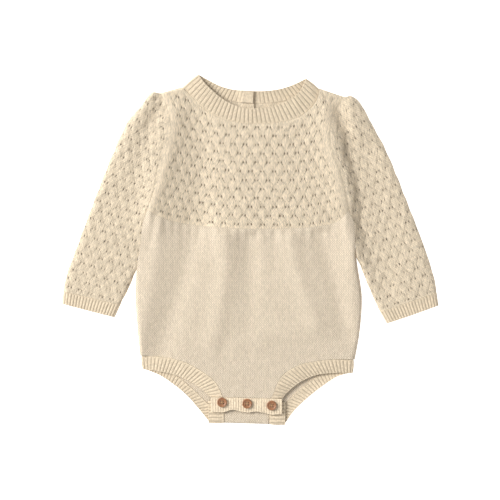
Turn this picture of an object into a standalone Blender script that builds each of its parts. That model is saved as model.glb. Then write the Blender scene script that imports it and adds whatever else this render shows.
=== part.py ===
"""A baby's bubble bodysuit in knitted cotton, laid flat on its back with its front up.

The frame has +X to the viewer's right, +Y towards the neck and +Z up, in metres. The origin ends at the
centre of the garment's box, on the surface that it lies on. The tables below are in millimetres. Left and
right are the viewer's.

Every piece of cloth is a closed wall: a grid of corners over the piece, once for the outer face and once
for the inner face, each sent to its place by a function of the piece's own seams.
"""

import math

import bmesh
import bpy
from mathutils import Matrix, Vector

MM = 0.001
SHARP_DEGREES = 40

# Driving sizes, in millimetres.
WALL = 1.6  # plain and bubble knit
RIB_WALL = 2.0  # ribbed bands
GAP = 0.3  # between pieces at a seam
LOFT = 6.2  # top of the front layer where it lies level
ROLL = 6.0  # how far from a side or a shoulder the front layer bends down
CUFF_LOFT = 5.6
EDGE_HEIGHT = 2.6  # of a sleeve's outermost line, which both its faces bend to
FLAP_LENGTH = 23.0  # of the crotch flap, from its fold
BUTTON_DIAMETER = 10.8
BUTTON_THICKNESS = 2.6

FRONT_REST = WALL + GAP  # lowest point of the front layer, on the back layer
BACK_RIB = RIB_WALL / 2  # middle of a band's wall in the back layer
FRONT_RIB = LOFT - RIB_WALL / 2  # middle of a band's wall in the front layer
FLAP_RIB = RIB_WALL * 1.5 + GAP  # middle of a band's wall on the crotch flap
PLACKET_REST = 2 * (RIB_WALL + GAP)  # underside of the placket, on the flap
FOLD_BULGE = (FRONT_RIB - BACK_RIB + RIB_WALL) / 2  # how far a band's fold reaches past its layers
UP = Vector((0.0, 0.0, 1.0))

# Seams and edges: x, y of the few points that each line passes through.
UNDERARM_LEFT, UNDERARM_RIGHT = (-112.5, 44.0), (108.5, 42.0)
SHOULDER_LEFT, SHOULDER_RIGHT = (-98.0, 171.8), (103.3, 167.8)
NECK_LEFT, NECK_RIGHT = (-75.5, 178.2), (77.0, 176.6)
PEAK_LEFT, PEAK_RIGHT = (-57.2, 192.5), (61.9, 188.1)
LEG_LEFT, LEG_RIGHT = (-120.9, -116.0), (115.2, -120.6)
HEM_LEFT, HEM_RIGHT = (-118.4, -130.8), (113.6, -135.3)
PLACKET_LEFT, PLACKET_RIGHT = (-29.5, -161.8), (23.0, -163.2)
CROTCH_LEFT, CROTCH_RIGHT = (-28.5, -188.4), (21.5, -189.9)

LINES = {
    "yoke seam": (
        UNDERARM_LEFT, (-102.3, 38.0), (-88.0, 32.2), (-71.5, 28.6), (-44.0, 25.3), (0.0, 22.6),
        (44.0, 23.4), (79.2, 25.9), (95.0, 30.5), UNDERARM_RIGHT,
    ),
    "armhole left": (
        UNDERARM_LEFT, (-103.6, 65.5), (-94.6, 98.5), (-87.6, 125.0), (-88.2, 146.0), SHOULDER_LEFT,
    ),
    "armhole right": (
        UNDERARM_RIGHT, (104.5, 62.0), (97.8, 88.0), (90.0, 107.0), (87.5, 126.0), (91.5, 146.5),
        SHOULDER_RIGHT,
    ),
    "side left": (
        UNDERARM_LEFT, (-117.2, 29.2), (-121.0, -0.6), (-124.3, -22.6), (-125.7, -50.0),
        (-124.3, -80.0), LEG_LEFT,
    ),
    "side right": (
        UNDERARM_RIGHT, (114.0, 29.2), (115.5, -0.6), (118.0, -18.2), (122.8, -52.0),
        (120.7, -88.0), LEG_RIGHT,
    ),
    "neck front": (
        NECK_LEFT, (-65.3, 169.0), (-52.3, 156.0), (-34.3, 145.2), (-16.5, 139.8), (5.1, 138.1),
        (31.2, 139.3), (55.0, 146.4), (70.8, 160.7), NECK_RIGHT,
    ),
    "neck front edge": (
        PEAK_LEFT, (-47.3, 180.2), (-34.1, 168.3), (-21.0, 160.1), (-6.2, 155.1), (5.3, 154.8),
        (22.8, 156.8), (40.4, 163.0), (53.5, 172.2), PEAK_RIGHT,
    ),
    "neck back": (
        NECK_LEFT, (-58.0, 173.0), (-38.0, 166.5), (-18.0, 162.4), (2.0, 160.6), (24.0, 161.0),
        (44.0, 164.6), (62.0, 170.8), NECK_RIGHT,
    ),
    "neck back edge": (
        PEAK_LEFT, (-42.9, 184.6), (-31.6, 179.3), (-16.6, 175.5), (2.0, 174.3), (14.1, 174.2),
        (31.6, 176.2), (47.3, 181.0), PEAK_RIGHT,
    ),
    "leg front left": (
        PLACKET_LEFT, (-38.3, -144.7), (-55.8, -131.5), (-73.3, -122.7), (-92.6, -118.3), LEG_LEFT,
    ),
    "leg front left edge": (
        (-43.0, -161.8), (-53.9, -152.4), (-68.2, -143.6), (-85.6, -136.7), (-104.0, -133.0),
        HEM_LEFT,
    ),
    "leg front right": (
        PLACKET_RIGHT, (35.1, -138.5), (52.6, -127.1), (70.2, -122.7), (91.3, -120.4), LEG_RIGHT,
    ),
    "leg front right edge": (
        (35.4, -163.4), (39.6, -157.9), (52.6, -147.2), (70.2, -138.5), (92.0, -135.4), HEM_RIGHT,
    ),
    "leg back left": (
        CROTCH_LEFT, (-43.5, -172.5), (-51.7, -164.2), (-64.9, -151.4), (-85.8, -135.2), LEG_LEFT,
    ),
    "leg back left edge": (
        (-45.6, -188.4), (-55.6, -176.0), (-71.8, -158.2), (-95.0, -140.6), (-110.0, -133.4),
        HEM_LEFT,
    ),
    "leg back right": (
        CROTCH_RIGHT, (39.0, -169.5), (55.9, -152.8), (76.2, -137.6), (95.0, -127.8), LEG_RIGHT,
    ),
    "leg back right edge": (
        (38.8, -190.4), (48.8, -176.8), (67.5, -159.4), (92.4, -141.4), (104.0, -136.8),
        HEM_RIGHT,
    ),
    "placket top": ((-42.9, -162.1), (35.4, -164.0)),
    "placket edge": (
        (-42.9, -178.0), (-30.0, -178.4), (-18.8, -175.7), (-10.0, -177.6), (-1.8, -178.7),
        (7.4, -177.6), (24.4, -181.0), (35.4, -180.2),
    ),
}

# Sleeves: each edge from the armhole to the cuff's seam, then the cuff's open end.
SLEEVES = {
    "left": {
        "under edge": ((-118.3, 28.0), (-122.1, -1.0), (-125.5, -22.0), (-138.9, -53.4)),
        "outer edge": (
            (-107.6, 172.2), (-119.9, 157.9), (-134.2, 140.3), (-150.7, 105.1), (-171.6, 52.3),
            (-191.4, -0.6), (-202.0, -30.0),
        ),
        "cuff seam": ((-142.4, -60.8), (-174.0, -53.2), (-204.8, -46.0)),
        "cuff end": ((-148.6, -74.4), (-176.5, -67.4), (-206.0, -59.6)),
    },
    "right": {
        "under edge": ((115.1, 28.0), (116.6, -1.0), (119.4, -15.0), (134.2, -53.4)),
        "outer edge": (
            (112.0, 168.4), (122.5, 158.6), (132.2, 140.8), (150.8, 105.4), (172.4, 52.3),
            (192.6, -0.6), (202.6, -33.0),
        ),
        "cuff seam": ((142.8, -68.4), (173.2, -58.2), (204.8, -47.6)),
        "cuff end": ((150.2, -81.2), (178.2, -71.8), (206.8, -61.4)),
    },
}

# Stations along each seam, as shares of its length. Pieces that meet at a seam share its stations.
NECK_SHARES = (0.16, 0.86)  # where the shoulders end and the neck begins, along a yoke's top
NECK_STEPS = 12
NECK_COLUMNS = tuple(
    NECK_SHARES[0] + (NECK_SHARES[1] - NECK_SHARES[0]) * k / NECK_STEPS for k in range(NECK_STEPS + 1)
)
CROTCH_SHARES = (NECK_COLUMNS[4], NECK_COLUMNS[8])  # where the leg seams end, along a body's bottom
EDGE_BEND = (0.0, 0.004, 0.013, 0.026)  # close to a side, where the cloth bends down
SIDE_COLUMNS_LEFT, SIDE_COLUMNS_RIGHT = (0.07, 0.115), (0.905, 0.945)
COLUMNS = (
    EDGE_BEND + SIDE_COLUMNS_LEFT + NECK_COLUMNS + SIDE_COLUMNS_RIGHT
    + tuple(1 - share for share in reversed(EDGE_BEND))
)
ARMHOLE = (
    0.0, 0.006, 0.022, 0.045, 0.13, 0.24, 0.35, 0.46, 0.57, 0.68, 0.77, 0.83, 0.87, 0.91, 0.955,
    0.978, 0.994, 1.0,
)
ARMHOLE_UNDER = (0.0, 0.0064, 0.022, 0.13, 0.35, 0.57, 0.77, 0.91, 0.978, 0.9936, 1.0)
BACK_COLUMNS_LEFT = (0.0, EDGE_BEND[-1]) + SIDE_COLUMNS_LEFT + NECK_COLUMNS[:5]
BACK_COLUMNS_RIGHT = NECK_COLUMNS[8:] + SIDE_COLUMNS_RIGHT + (1 - EDGE_BEND[-1], 1.0)
BODY_STEPS, BACK_STEPS = 15, 6
SLEEVE_ROWS = (
    0.0, 0.02, 0.05, 0.09, 0.14, 0.2, 0.27, 0.35, 0.44, 0.53, 0.62, 0.71, 0.8, 0.88, 0.95, 1.0,
)
FOLD_STEPS = 4
BAND_ROWS = (0.0, 0.5, 1.0)
PLACKET_STEPS = 12
FOLD_SAMPLES, CREASE_SAMPLES = 40, 12  # on a line that distances are measured to
SHARE_STEP = 1e-3  # for the direction of a line or a patch

# The back opening: the left half lies over the right half between these two lines.
OVERLAP_START, OVERLAP_END = -8.0, 4.0
STEP_START, STEP_END = -13.5, -8.6  # where the left half rises onto the right half

# Creases. A negative height is a trough.
BODY_CREASES = (
    # name, start, middle, end, half width, height at the start and at the end
    ("left gather", (-78, 24), (-92, -10), (-107, -92), 9.0, -2.2, -1.3),
    ("left fullness", (-52, 22), (-57, -20), (-62, -84), 14.0, 0.9, 0.5),
    ("underarm pinch", (-105, 32), (-108, 18), (-111, 4), 4.5, -1.0, -0.3),
    ("centre ridge", (-33, 20), (-30, -30), (-36, -106), 9.0, 0.9, 0.4),
    ("long gather", (-14, 20), (-13, -30), (-13, -98), 7.0, -2.2, -1.0),
    ("short gather", (12, 20), (15, -20), (16, -58), 6.0, -1.5, -0.4),
    ("right fullness", (33, 20), (38, -18), (42, -60), 11.0, 0.9, 0.4),
    ("right gather", (54, 20), (68, -20), (88, -70), 8.0, -2.1, -1.4),
    ("right ridge", (90, 26), (101, -20), (105, -72), 10.0, 0.9, 0.6),
    ("swag", (-14, -92), (30, -84), (76, -90), 8.0, 0.9, 0.5),
    ("swag hollow", (14, -108), (52, -104), (98, -103), 9.0, -1.1, -0.9),
    ("hem hollow", (-37, -98), (-36, -110), (-33, -124), 7.0, -0.9, -0.4),
)
YOKE_CREASES = (
    ("left armhole ridge", (-103, 66), (-93, 104), (-91, 150), 6.0, 0.8, 0.6),
    ("left hollow", (-84, 56), (-70, 104), (-72, 146), 12.0, -1.8, -1.6),
    ("right armhole ridge", (100, 62), (84, 108), (90, 150), 9.0, 0.7, 0.6),
    ("chest", (-40, 60), (0, 62), (44, 58), 26.0, 0.5, 0.5),
)
SLEEVE_CREASES = {
    "left": (
        ("outer pleat", (-97, 168), (-112, 146), (-124, 112), 4.0, -1.2, -0.2),
        ("inner pleat", (-93, 160), (-104, 132), (-112, 100), 4.0, -1.2, -0.3),
        ("pleat ridge", (-104, 164), (-118, 140), (-132, 100), 5.0, 0.7, 0.2),
        ("armhole ridge", (-98, 120), (-106, 84), (-116, 44), 8.0, 0.7, 0.3),
        ("long hollow", (-118, 108), (-134, 60), (-152, 10), 12.0, -0.7, -0.4),
        ("elbow", (-134, 30), (-150, 4), (-172, -16), 9.0, 0.6, 0.3),
    ),
    "right": (
        ("outer pleat", (102, 158), (110, 128), (116, 96), 4.5, -1.2, -0.5),
        ("armhole hollow", (97, 150), (100, 112), (111, 66), 6.0, -1.5, -1.3),
        ("pleat ridge", (108, 150), (122, 118), (136, 76), 7.0, 0.8, 0.4),
        ("long hollow", (124, 92), (136, 50), (150, 4), 10.0, -0.6, -0.4),
        ("elbow", (140, 24), (156, 2), (176, -18), 9.0, 0.6, 0.3),
    ),
}
SEAM_DIP = (5.0, -0.6)  # half width and depth of the furrow along the yoke's seam

# Buttons: name and centre.
BUTTONS = (("left", -30.6, -167.4), ("middle", -3.2, -168.7), ("right", 23.7, -170.8))
# Half of a button's outline, turned about its axis: radius share, height share.
BUTTON_PROFILE = (
    (0.0, 0.0), (0.72, 0.0), (0.95, 0.25), (1.0, 0.6), (0.93, 0.93), (0.8, 1.0), (0.66, 0.86),
    (0.56, 0.66), (0.0, 0.62),
)
BUTTON_SIDES = 20
HOLE_DIAMETER = 1.5
HOLE_SPACING = 2.6
HOLE_SIDES = 8

FINISHES = {
    # name: red, green, blue, roughness
    "knit": (0.78, 0.68, 0.51, 0.95),
    "rib": (0.79, 0.69, 0.52, 0.95),
    "wood": (0.42, 0.19, 0.09, 0.45),
}


def clear_scene():
    for item in list(bpy.data.objects):
        bpy.data.objects.remove(item, do_unlink=True)


def make_material(name):
    red, green, blue, roughness = FINISHES[name]
    material = bpy.data.materials.new(name)
    material.use_nodes = True
    shader = material.node_tree.nodes["Principled BSDF"]
    shader.inputs["Base Color"].default_value = (red, green, blue, 1.0)
    shader.inputs["Roughness"].default_value = roughness
    shader.inputs["Metallic"].default_value = 0.0
    return material


def add_object(name, mesh, material):
    mesh.materials.append(material)
    mesh.shade_smooth()
    mesh.set_sharp_from_angle(angle=math.radians(SHARP_DEGREES))
    item = bpy.data.objects.new(name, mesh)
    bpy.context.scene.collection.objects.link(item)
    return item


# Lines and patches in the plan.


def smooth(points):
    """The curve through the points, as a function of the share of its length."""
    points = [Vector(point) for point in points]
    run = [0.0]
    for start, end in zip(points, points[1:]):
        run.append(run[-1] + (end - start).length)
    last = len(points) - 1

    def slope(k):
        before, after = max(k - 1, 0), min(k + 1, last)
        return (points[after] - points[before]) / (run[after] - run[before])

    def at(share):
        reach = share * run[-1]
        k = 0
        while k < last - 1 and reach > run[k + 1]:
            k += 1
        span = run[k + 1] - run[k]
        t = (reach - run[k]) / span
        hold, lead = (1 + 2 * t) * (1 - t) ** 2, t * t * (3 - 2 * t)
        turn_out, turn_in = t * (1 - t) ** 2, t * t * (t - 1)
        bend = (slope(k) * turn_out + slope(k + 1) * turn_in) * span
        return points[k] * hold + points[k + 1] * lead + bend

    return at


def chain(*links):
    """Curves end to end: each link is the share at which it ends and its curve."""

    def at(share):
        start = 0.0
        for end, curve in links:
            if share <= end or end == links[-1][0]:
                return curve((share - start) / (end - start))
            start = end

    return at


def beside(curve, distance):
    """The curve moved to its left by a distance, seen along it."""
    def at(share):
        ahead = curve(min(share + SHARE_STEP, 1.0)) - curve(max(share - SHARE_STEP, 0.0))
        return curve(share) + Vector((-ahead.y, ahead.x)).normalized() * distance

    return at


def patch(left, right, bottom, top):
    """A sheet spread between four curves, as a function of its shares across and up."""

    def at(u, v):
        sides = left(v) * (1 - u) + right(v) * u
        ends = bottom(u) * (1 - v) + top(u) * v
        low = bottom(0.0) * (1 - u) + bottom(1.0) * u
        high = top(0.0) * (1 - u) + top(1.0) * u
        return sides + ends - low * (1 - v) - high * v

    return at


def samples(curve, count):
    return [curve(k / count) for k in range(count + 1)]


def nearest(line, point):
    """The nearest place on a sampled line: its distance and its share of the line."""
    best = None
    for k, (start, end) in enumerate(zip(line, line[1:])):
        along = end - start
        t = max(0.0, min(1.0, (point - start).dot(along) / along.length_squared))
        distance = (point - start - along * t).length
        if best is None or distance < best[0]:
            best = (distance, (k + t) / (len(line) - 1))
    return best


def step_along(spread, u, v, du, dv):
    """The unit step from a patch's place towards higher (1) or lower (-1) shares."""
    ahead = spread(u + du * SHARE_STEP, v + dv * SHARE_STEP) - spread(u, v)
    return ahead.normalized()


line = {name: smooth(points) for name, points in LINES.items()}
shoulder_left = smooth((SHOULDER_LEFT, NECK_LEFT))
shoulder_right = smooth((NECK_RIGHT, SHOULDER_RIGHT))
front_folds = [
    # the fold, and the way into the cloth from it as steps across and up
    (samples(line["side left"], FOLD_SAMPLES), (1, 0)),
    (samples(line["side right"], FOLD_SAMPLES), (-1, 0)),
    (samples(shoulder_left, FOLD_SAMPLES), (0, -1)),
    (samples(shoulder_right, FOLD_SAMPLES), (0, -1)),
]


def backwards(curve):
    return lambda share: curve(1.0 - share)


def body_patch(layer, bottom):
    """A body's sheet, from its leg seams and its bottom edge up to the yoke's seam."""
    top = beside(line["yoke seam"], -GAP)
    left = smooth((top(0.0),) + LINES["side left"][1:])
    right = smooth((top(1.0),) + LINES["side right"][1:])
    legs = [line[f"leg {layer} {side}"] for side in ("left", "right")]
    start, end = CROTCH_SHARES
    hem = chain((start, backwards(legs[0])), (end, bottom), (1.0, legs[1]))
    return patch(backwards(left), backwards(right), hem, top)


def yoke_top(neck):
    start, end = NECK_SHARES
    return chain((start, shoulder_left), (end, neck), (1.0, shoulder_right))


# Heights of the front layer.


def bell(distance, half_width):
    return math.exp(-((distance / half_width) ** 2))


def crease_lines(table):
    lines = []
    for _, first, middle, last, half_width, start, end in table:
        lines.append((samples(smooth((first, middle, last)), CREASE_SAMPLES), half_width, start, end))
    return lines


def relief(lines, point):
    """The height that the creases add at a place."""
    height = 0.0
    for crease, half_width, start, end in lines:
        distance, share = nearest(crease, point)
        height += (start + (end - start) * share) * bell(distance, half_width)
    return height


seam_line = samples(line["yoke seam"], FOLD_SAMPLES)


def seam_dip(point):
    half_width, depth = SEAM_DIP
    return depth * bell(nearest(seam_line, point)[0], half_width)


def front_corner(spread, u, v, face, creases):
    """A corner of the front layer, which bends down to the back layer at the sides and shoulders."""
    point = spread(u, v)
    distance, (du, dv) = min((nearest(fold, point)[0], inward) for fold, inward in front_folds)
    outward = max(0.0, 1.0 - distance / ROLL)
    upward = math.sqrt(1.0 - outward * outward)
    plan = point + step_along(spread, u, v, du, dv) * (WALL * outward * face)
    height = LOFT + relief(creases, point) + seam_dip(point)
    top = FRONT_REST + (height - FRONT_REST) * upward
    return Vector((plan.x, plan.y, top - WALL * upward * face))


# Closed walls of cloth.


def cloth(name, columns, rows, place, material, tube=False, keep=None):
    """A closed wall over a grid of shares. place gives a corner from its shares and its face:
    0 is the outer face and 1 the inner face. A tube's last column is its first. keep tells which
    parts of the grid are cloth."""
    bm = bmesh.new()
    bmesh.ops.create_grid(bm, x_segments=len(columns) - 1, y_segments=len(rows) - 1, size=0.5)
    shares = bm.verts.layers.float_vector.new("shares")
    for vert in bm.verts:
        i = round((vert.co.x + 0.5) * (len(columns) - 1))
        j = round((vert.co.y + 0.5) * (len(rows) - 1))
        vert[shares] = (columns[i], rows[j], 0.0)
        if tube:
            turn = 2 * math.pi * i / (len(columns) - 1)
            vert.co = (math.cos(turn), math.sin(turn), j)
    if tube:
        bmesh.ops.remove_doubles(bm, verts=bm.verts, dist=1e-5)
    if keep:
        spare = []
        for face in bm.faces:
            us = [vert[shares][0] for vert in face.verts]
            vs = [vert[shares][1] for vert in face.verts]
            if not keep(sum(us) / len(us), sum(vs) / len(vs)):
                spare.append(face)
        bmesh.ops.delete(bm, geom=spare, context="FACES")
    made = bmesh.ops.extrude_face_region(bm, geom=bm.faces[:], use_keep_orig=True)
    for item in made["geom"]:
        if isinstance(item, bmesh.types.BMVert):
            u, v, _ = item[shares]
            item[shares] = (u, v, 1.0)
    for vert in bm.verts:
        u, v, face = vert[shares]
        vert.co = place(u, v, face) * MM
    bmesh.ops.recalc_face_normals(bm, faces=bm.faces)
    if bm.calc_volume(signed=True) < 0:
        bmesh.ops.reverse_faces(bm, faces=bm.faces)
    mesh = bpy.data.meshes.new(name)
    bm.to_mesh(mesh)
    bm.free()
    return add_object(name, mesh, material)


def flat_corner(point, lift, wall, face):
    """A corner of a level layer, whose outer face is its underside."""
    return Vector((point.x, point.y, lift + wall * face))


def make_front_yoke(material):
    spread = patch(line["armhole left"], line["armhole right"], line["yoke seam"],
                   yoke_top(line["neck front"]))
    creases = crease_lines(YOKE_CREASES)

    def place(u, v, face):
        return front_corner(spread, u, v, face, creases)

    rows = ARMHOLE[:1] + ARMHOLE[3:]
    cloth("front_yoke", COLUMNS, rows, place, material)


def share_at(x):
    """The share across a yoke at which its seam reaches x near the middle."""
    return (x - UNDERARM_LEFT[0]) / (UNDERARM_RIGHT[0] - UNDERARM_LEFT[0])


def overlap_lift(share, rise):
    """How far the left half of the back is raised at a share, to lie on the right half."""
    start, end = share_at(STEP_START), share_at(STEP_END)
    return rise * max(0.0, min(1.0, (share - start) / (end - start)))


def back_columns():
    overlap = tuple(share_at(x) for x in (STEP_START, STEP_END, OVERLAP_START, OVERLAP_END))
    return BACK_COLUMNS_LEFT + overlap + BACK_COLUMNS_RIGHT


def make_back_yokes(material):
    spread = patch(line["armhole left"], line["armhole right"], line["yoke seam"],
                   yoke_top(line["neck back"]))
    every = back_columns()
    left_columns = tuple(share for share in every if share <= share_at(OVERLAP_END))
    right_columns = tuple(share for share in every if share >= share_at(OVERLAP_START))

    def place_left(u, v, face):
        return flat_corner(spread(u, v), overlap_lift(u, WALL + GAP), WALL, face)

    def place_right(u, v, face):
        return flat_corner(spread(u, v), 0.0, WALL, face)

    rows = ARMHOLE_UNDER[:1] + ARMHOLE_UNDER[2:-2] + ARMHOLE_UNDER[-1:]
    cloth("back_yoke_left", left_columns, rows, place_left, material)
    cloth("back_yoke_right", right_columns, rows, place_right, material)


def make_front_body(material):
    spread = body_patch("front", smooth((PLACKET_LEFT, PLACKET_RIGHT)))
    creases = crease_lines(BODY_CREASES)

    def place(u, v, face):
        return front_corner(spread, u, v, face, creases)

    rows = tuple(k / BODY_STEPS for k in range(BODY_STEPS)) + (0.98, 1.0)
    cloth("front_body", COLUMNS, rows, place, material)


class Turn:
    """A level layer that folds over onto another one, about an axis in the plan.

    low and high are the middles of the two layers' walls, and outward is the way that the fold bulges.
    """

    def __init__(self, low, high, outward):
        self.middle = (low + high) / 2
        self.radius = (high - low) / 2
        self.outward = Vector((outward[0], outward[1], 0.0)).normalized()

    def corner(self, point, angle, wall, face, lift=0.0):
        """angle is 0 in the upper layer, pi / 2 at the fold and pi in the lower layer."""
        facing = UP * math.cos(angle) + self.outward * math.sin(angle)
        centre = Vector((point.x, point.y, self.middle + lift)) + facing * self.radius
        return centre + facing * (wall * (0.5 - face))


def make_back_body(material):
    """The back of the skirt. Below it, between the leg bands, it goes on round the crotch fold and
    up the flap."""
    spread = body_patch("back", smooth((CROTCH_LEFT, CROTCH_RIGHT)))
    turn = Turn(WALL / 2, FLAP_RIB, (0.0, -1.0))
    flap_end, fold_end = -2.0, -1.0
    fold = tuple(fold_end + k / FOLD_STEPS for k in range(FOLD_STEPS))
    rows = (flap_end,) + fold + tuple(k / BACK_STEPS for k in range(BACK_STEPS + 1))

    def place(u, v, face):
        if v > 0:
            return flat_corner(spread(u, v), 0.0, WALL, face)
        rise = max(0.0, fold_end - v) * FLAP_LENGTH
        angle = math.pi * max(0.0, v - fold_end)
        return turn.corner(spread(u, 0.0) + Vector((0.0, rise)), angle, WALL, face)

    def keep(u, v):
        return v > 0 or CROTCH_SHARES[0] < u < CROTCH_SHARES[1]

    cloth("back_body", back_columns(), rows, place, material, keep=keep)


# Sleeves and cuffs: flattened tubes.


def ring_shares():
    """Corners round a sleeve: across its top face from the underarm edge, then back along its
    underside. Positive is the top, negative the underside."""
    top = ARMHOLE
    under = tuple(-share for share in reversed(ARMHOLE_UNDER[1:-1]))
    return top + under + top[:1]


TOP_BEND, UNDER_BEND = ARMHOLE[3], ARMHOLE_UNDER[2]  # where its top and its underside are level


def tube_corner(spread, share, along, wall, face, top):
    """A corner of a flattened tube that lies on its underside."""
    across = abs(share)
    bend = UNDER_BEND if share < 0 else TOP_BEND
    from_edge = min(across, 1.0 - across)
    outward = max(0.0, 1.0 - from_edge / bend)
    vertical = math.sqrt(1.0 - outward * outward)
    inward = step_along(spread, across, along, 1 if across < 0.5 else -1, 0)
    plan = spread(across, along) + inward * (wall * outward * face)
    if share < 0:
        height = EDGE_HEIGHT * (1.0 - vertical) + wall * vertical * face
    else:
        height = EDGE_HEIGHT + (top(plan) - EDGE_HEIGHT) * vertical - wall * vertical * face
    return Vector((plan.x, plan.y, height))


def make_sleeve(side, knit, rib):
    table = SLEEVES[side]
    gap = GAP if side == "left" else -GAP
    armhole = beside(line[f"armhole {side}"], gap)
    under = smooth((armhole(0.0),) + tuple(Vector(p) for p in table["under edge"])
                   + (Vector(table["cuff seam"][0]),))
    outer = smooth((armhole(1.0),) + tuple(Vector(p) for p in table["outer edge"])
                   + (Vector(table["cuff seam"][-1]),))
    seam = smooth(table["cuff seam"])
    spread = patch(under, outer, armhole, seam)
    creases = crease_lines(SLEEVE_CREASES[side])

    def place(share, reach, face):
        def top(plan):
            return LOFT + (CUFF_LOFT - LOFT) * reach + relief(creases, plan)

        return tube_corner(spread, share, reach, WALL, face, top)

    cloth(f"sleeve_{side}", ring_shares(), SLEEVE_ROWS, place, knit, tube=True)
    make_cuff(side, rib)


def make_cuff(side, material):
    table = SLEEVES[side]
    gap = GAP if side == "left" else -GAP
    seam, end = smooth(table["cuff seam"]), smooth(table["cuff end"])
    start = beside(seam, gap)
    under = smooth((start(0.0), end(0.0)))
    outer = smooth((start(1.0), end(1.0)))
    spread = patch(under, outer, start, end)

    def place(share, reach, face):
        return tube_corner(spread, share, reach, RIB_WALL, face, lambda plan: CUFF_LOFT)

    cloth(f"cuff_{side}", ring_shares(), BAND_ROWS, place, material, tube=True)


# Ribbed bands: strips from a seam to a free edge.


def strip(name, stations, material):
    """Each station gives a corner from its share across the strip and its face."""

    def place(u, v, face):
        return stations[round(u * (len(stations) - 1))](v, face)

    columns = tuple(k / (len(stations) - 1) for k in range(len(stations)))
    cloth(name, columns, BAND_ROWS, place, material)


def run_of(seam, edge, shares):
    """The lines across a strip at these shares of its seam, each from the seam to the edge."""
    return [(seam(share), edge(share)) for share in shares]


def drawn_in(run):
    """The run with its last line moved back along the strip, so that a fold's bulge ends there."""
    inner, outer = run[-2], run[-1]
    length = (outer[0] - inner[0]).length
    keep = 1.0 - FOLD_BULGE / length
    return run[:-1] + [tuple(a.lerp(b, keep) for a, b in zip(inner, outer))]


def side_turn(pair, hint):
    """The fold of a band at the garment's side, across the line from its seam to its edge."""
    run = pair[1] - pair[0]
    outward = Vector((-run.y, run.x))
    if outward.dot(Vector(hint)) < 0:
        outward = -outward
    return Turn(BACK_RIB, FRONT_RIB, outward)


def station(turn, pair, angle, lift=0.0):
    start, end = pair
    return lambda across, face: turn.corner(start.lerp(end, across), angle, RIB_WALL, face, lift)


def fold_stations(turn, before, after, first, last):
    """Stations between two level ones, round a fold from one angle to the other."""
    found = []
    for k in range(1, FOLD_STEPS):
        share = k / FOLD_STEPS
        pair = tuple(a.lerp(b, share) for a, b in zip(before, after))
        found.append(station(turn, pair, first + (last - first) * share))
    return found


def make_neckband(material):
    """From the left half's end at the back, over the left shoulder, along the front and back again."""
    start, end = NECK_SHARES
    columns = [share for share in back_columns() if start <= share <= end]
    left_columns = [share for share in columns if share <= share_at(OVERLAP_END)][::-1]
    right_columns = [share for share in columns if share >= share_at(OVERLAP_START)]
    back = (beside(line["neck back"], GAP), line["neck back edge"])

    def along_neck(shares):
        return [(share - start) / (end - start) for share in shares]

    front_shares = [k / NECK_STEPS for k in range(NECK_STEPS + 1)]
    front = run_of(beside(line["neck front"], GAP), line["neck front edge"], front_shares)
    front = drawn_in(drawn_in(front)[::-1])[::-1]
    left_back = drawn_in(run_of(*back, along_neck(left_columns)))
    right_back = drawn_in(run_of(*back, along_neck(right_columns)))
    left, right = side_turn(front[0], (-1.0, 1.0)), side_turn(front[-1], (1.0, 1.0))
    stations = []
    for share, pair in zip(left_columns, left_back):
        stations.append(station(left, pair, math.pi, overlap_lift(share, RIB_WALL + GAP)))
    stations += fold_stations(left, left_back[-1], front[0], math.pi, 0.0)
    stations += [station(left, pair, 0.0) for pair in front]
    stations += fold_stations(right, front[-1], right_back[-1], 0.0, math.pi)
    stations += [station(right, pair, math.pi) for pair in right_back[::-1]]
    strip("neckband", stations, material)


def leg_shares(side, columns):
    """A body's columns that end on a leg seam, as shares of the seam from the placket to the side."""
    start, end = CROTCH_SHARES
    if side == "left":
        found = [1 - share / start for share in columns if share <= start]
    else:
        found = [(share - end) / (1 - end) for share in columns if share >= end]
    return sorted(found)


def make_leg_band(side, material):
    """From the placket along the front leg seam, round the side, along the back and up the flap.
    It has none of the body's closest columns, where its own fold begins."""
    sign = -1.0 if side == "left" else 1.0
    closest = EDGE_BEND[1:3] + tuple(1 - share for share in EDGE_BEND[1:3])
    front_columns = [share for share in COLUMNS if share not in closest]
    runs = []
    for layer, columns in (("front", front_columns), ("back", back_columns())):
        seam = beside(line[f"leg {layer} {side}"], -sign * GAP)
        pairs = run_of(seam, line[f"leg {layer} {side} edge"], leg_shares(side, columns))
        runs.append(drawn_in(pairs))
    front, back = runs
    turn = side_turn(front[-1], (sign, 0.0))
    crotch = Turn(BACK_RIB, FLAP_RIB, (0.0, -1.0))
    flap_end = tuple(point + Vector((0.0, FLAP_LENGTH)) for point in back[0])
    stations = [station(turn, pair, 0.0) for pair in front]
    stations += fold_stations(turn, front[-1], back[-1], 0.0, math.pi)
    stations += [station(turn, pair, math.pi) for pair in back[::-1]]
    stations += fold_stations(crotch, back[0], back[0], math.pi, 0.0)
    stations += [station(crotch, pair, 0.0) for pair in (back[0], flap_end)]
    strip(f"leg_band_{side}", stations, material)


def make_placket(material):
    top, bottom = line["placket top"], line["placket edge"]

    def place(u, v, face):
        point = bottom(u).lerp(top(u), v)
        return Vector((point.x, point.y, PLACKET_REST + RIB_WALL * (1 - face)))

    columns = tuple(k / PLACKET_STEPS for k in range(PLACKET_STEPS + 1))
    cloth("front_placket", columns, BAND_ROWS, place, material)


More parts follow.
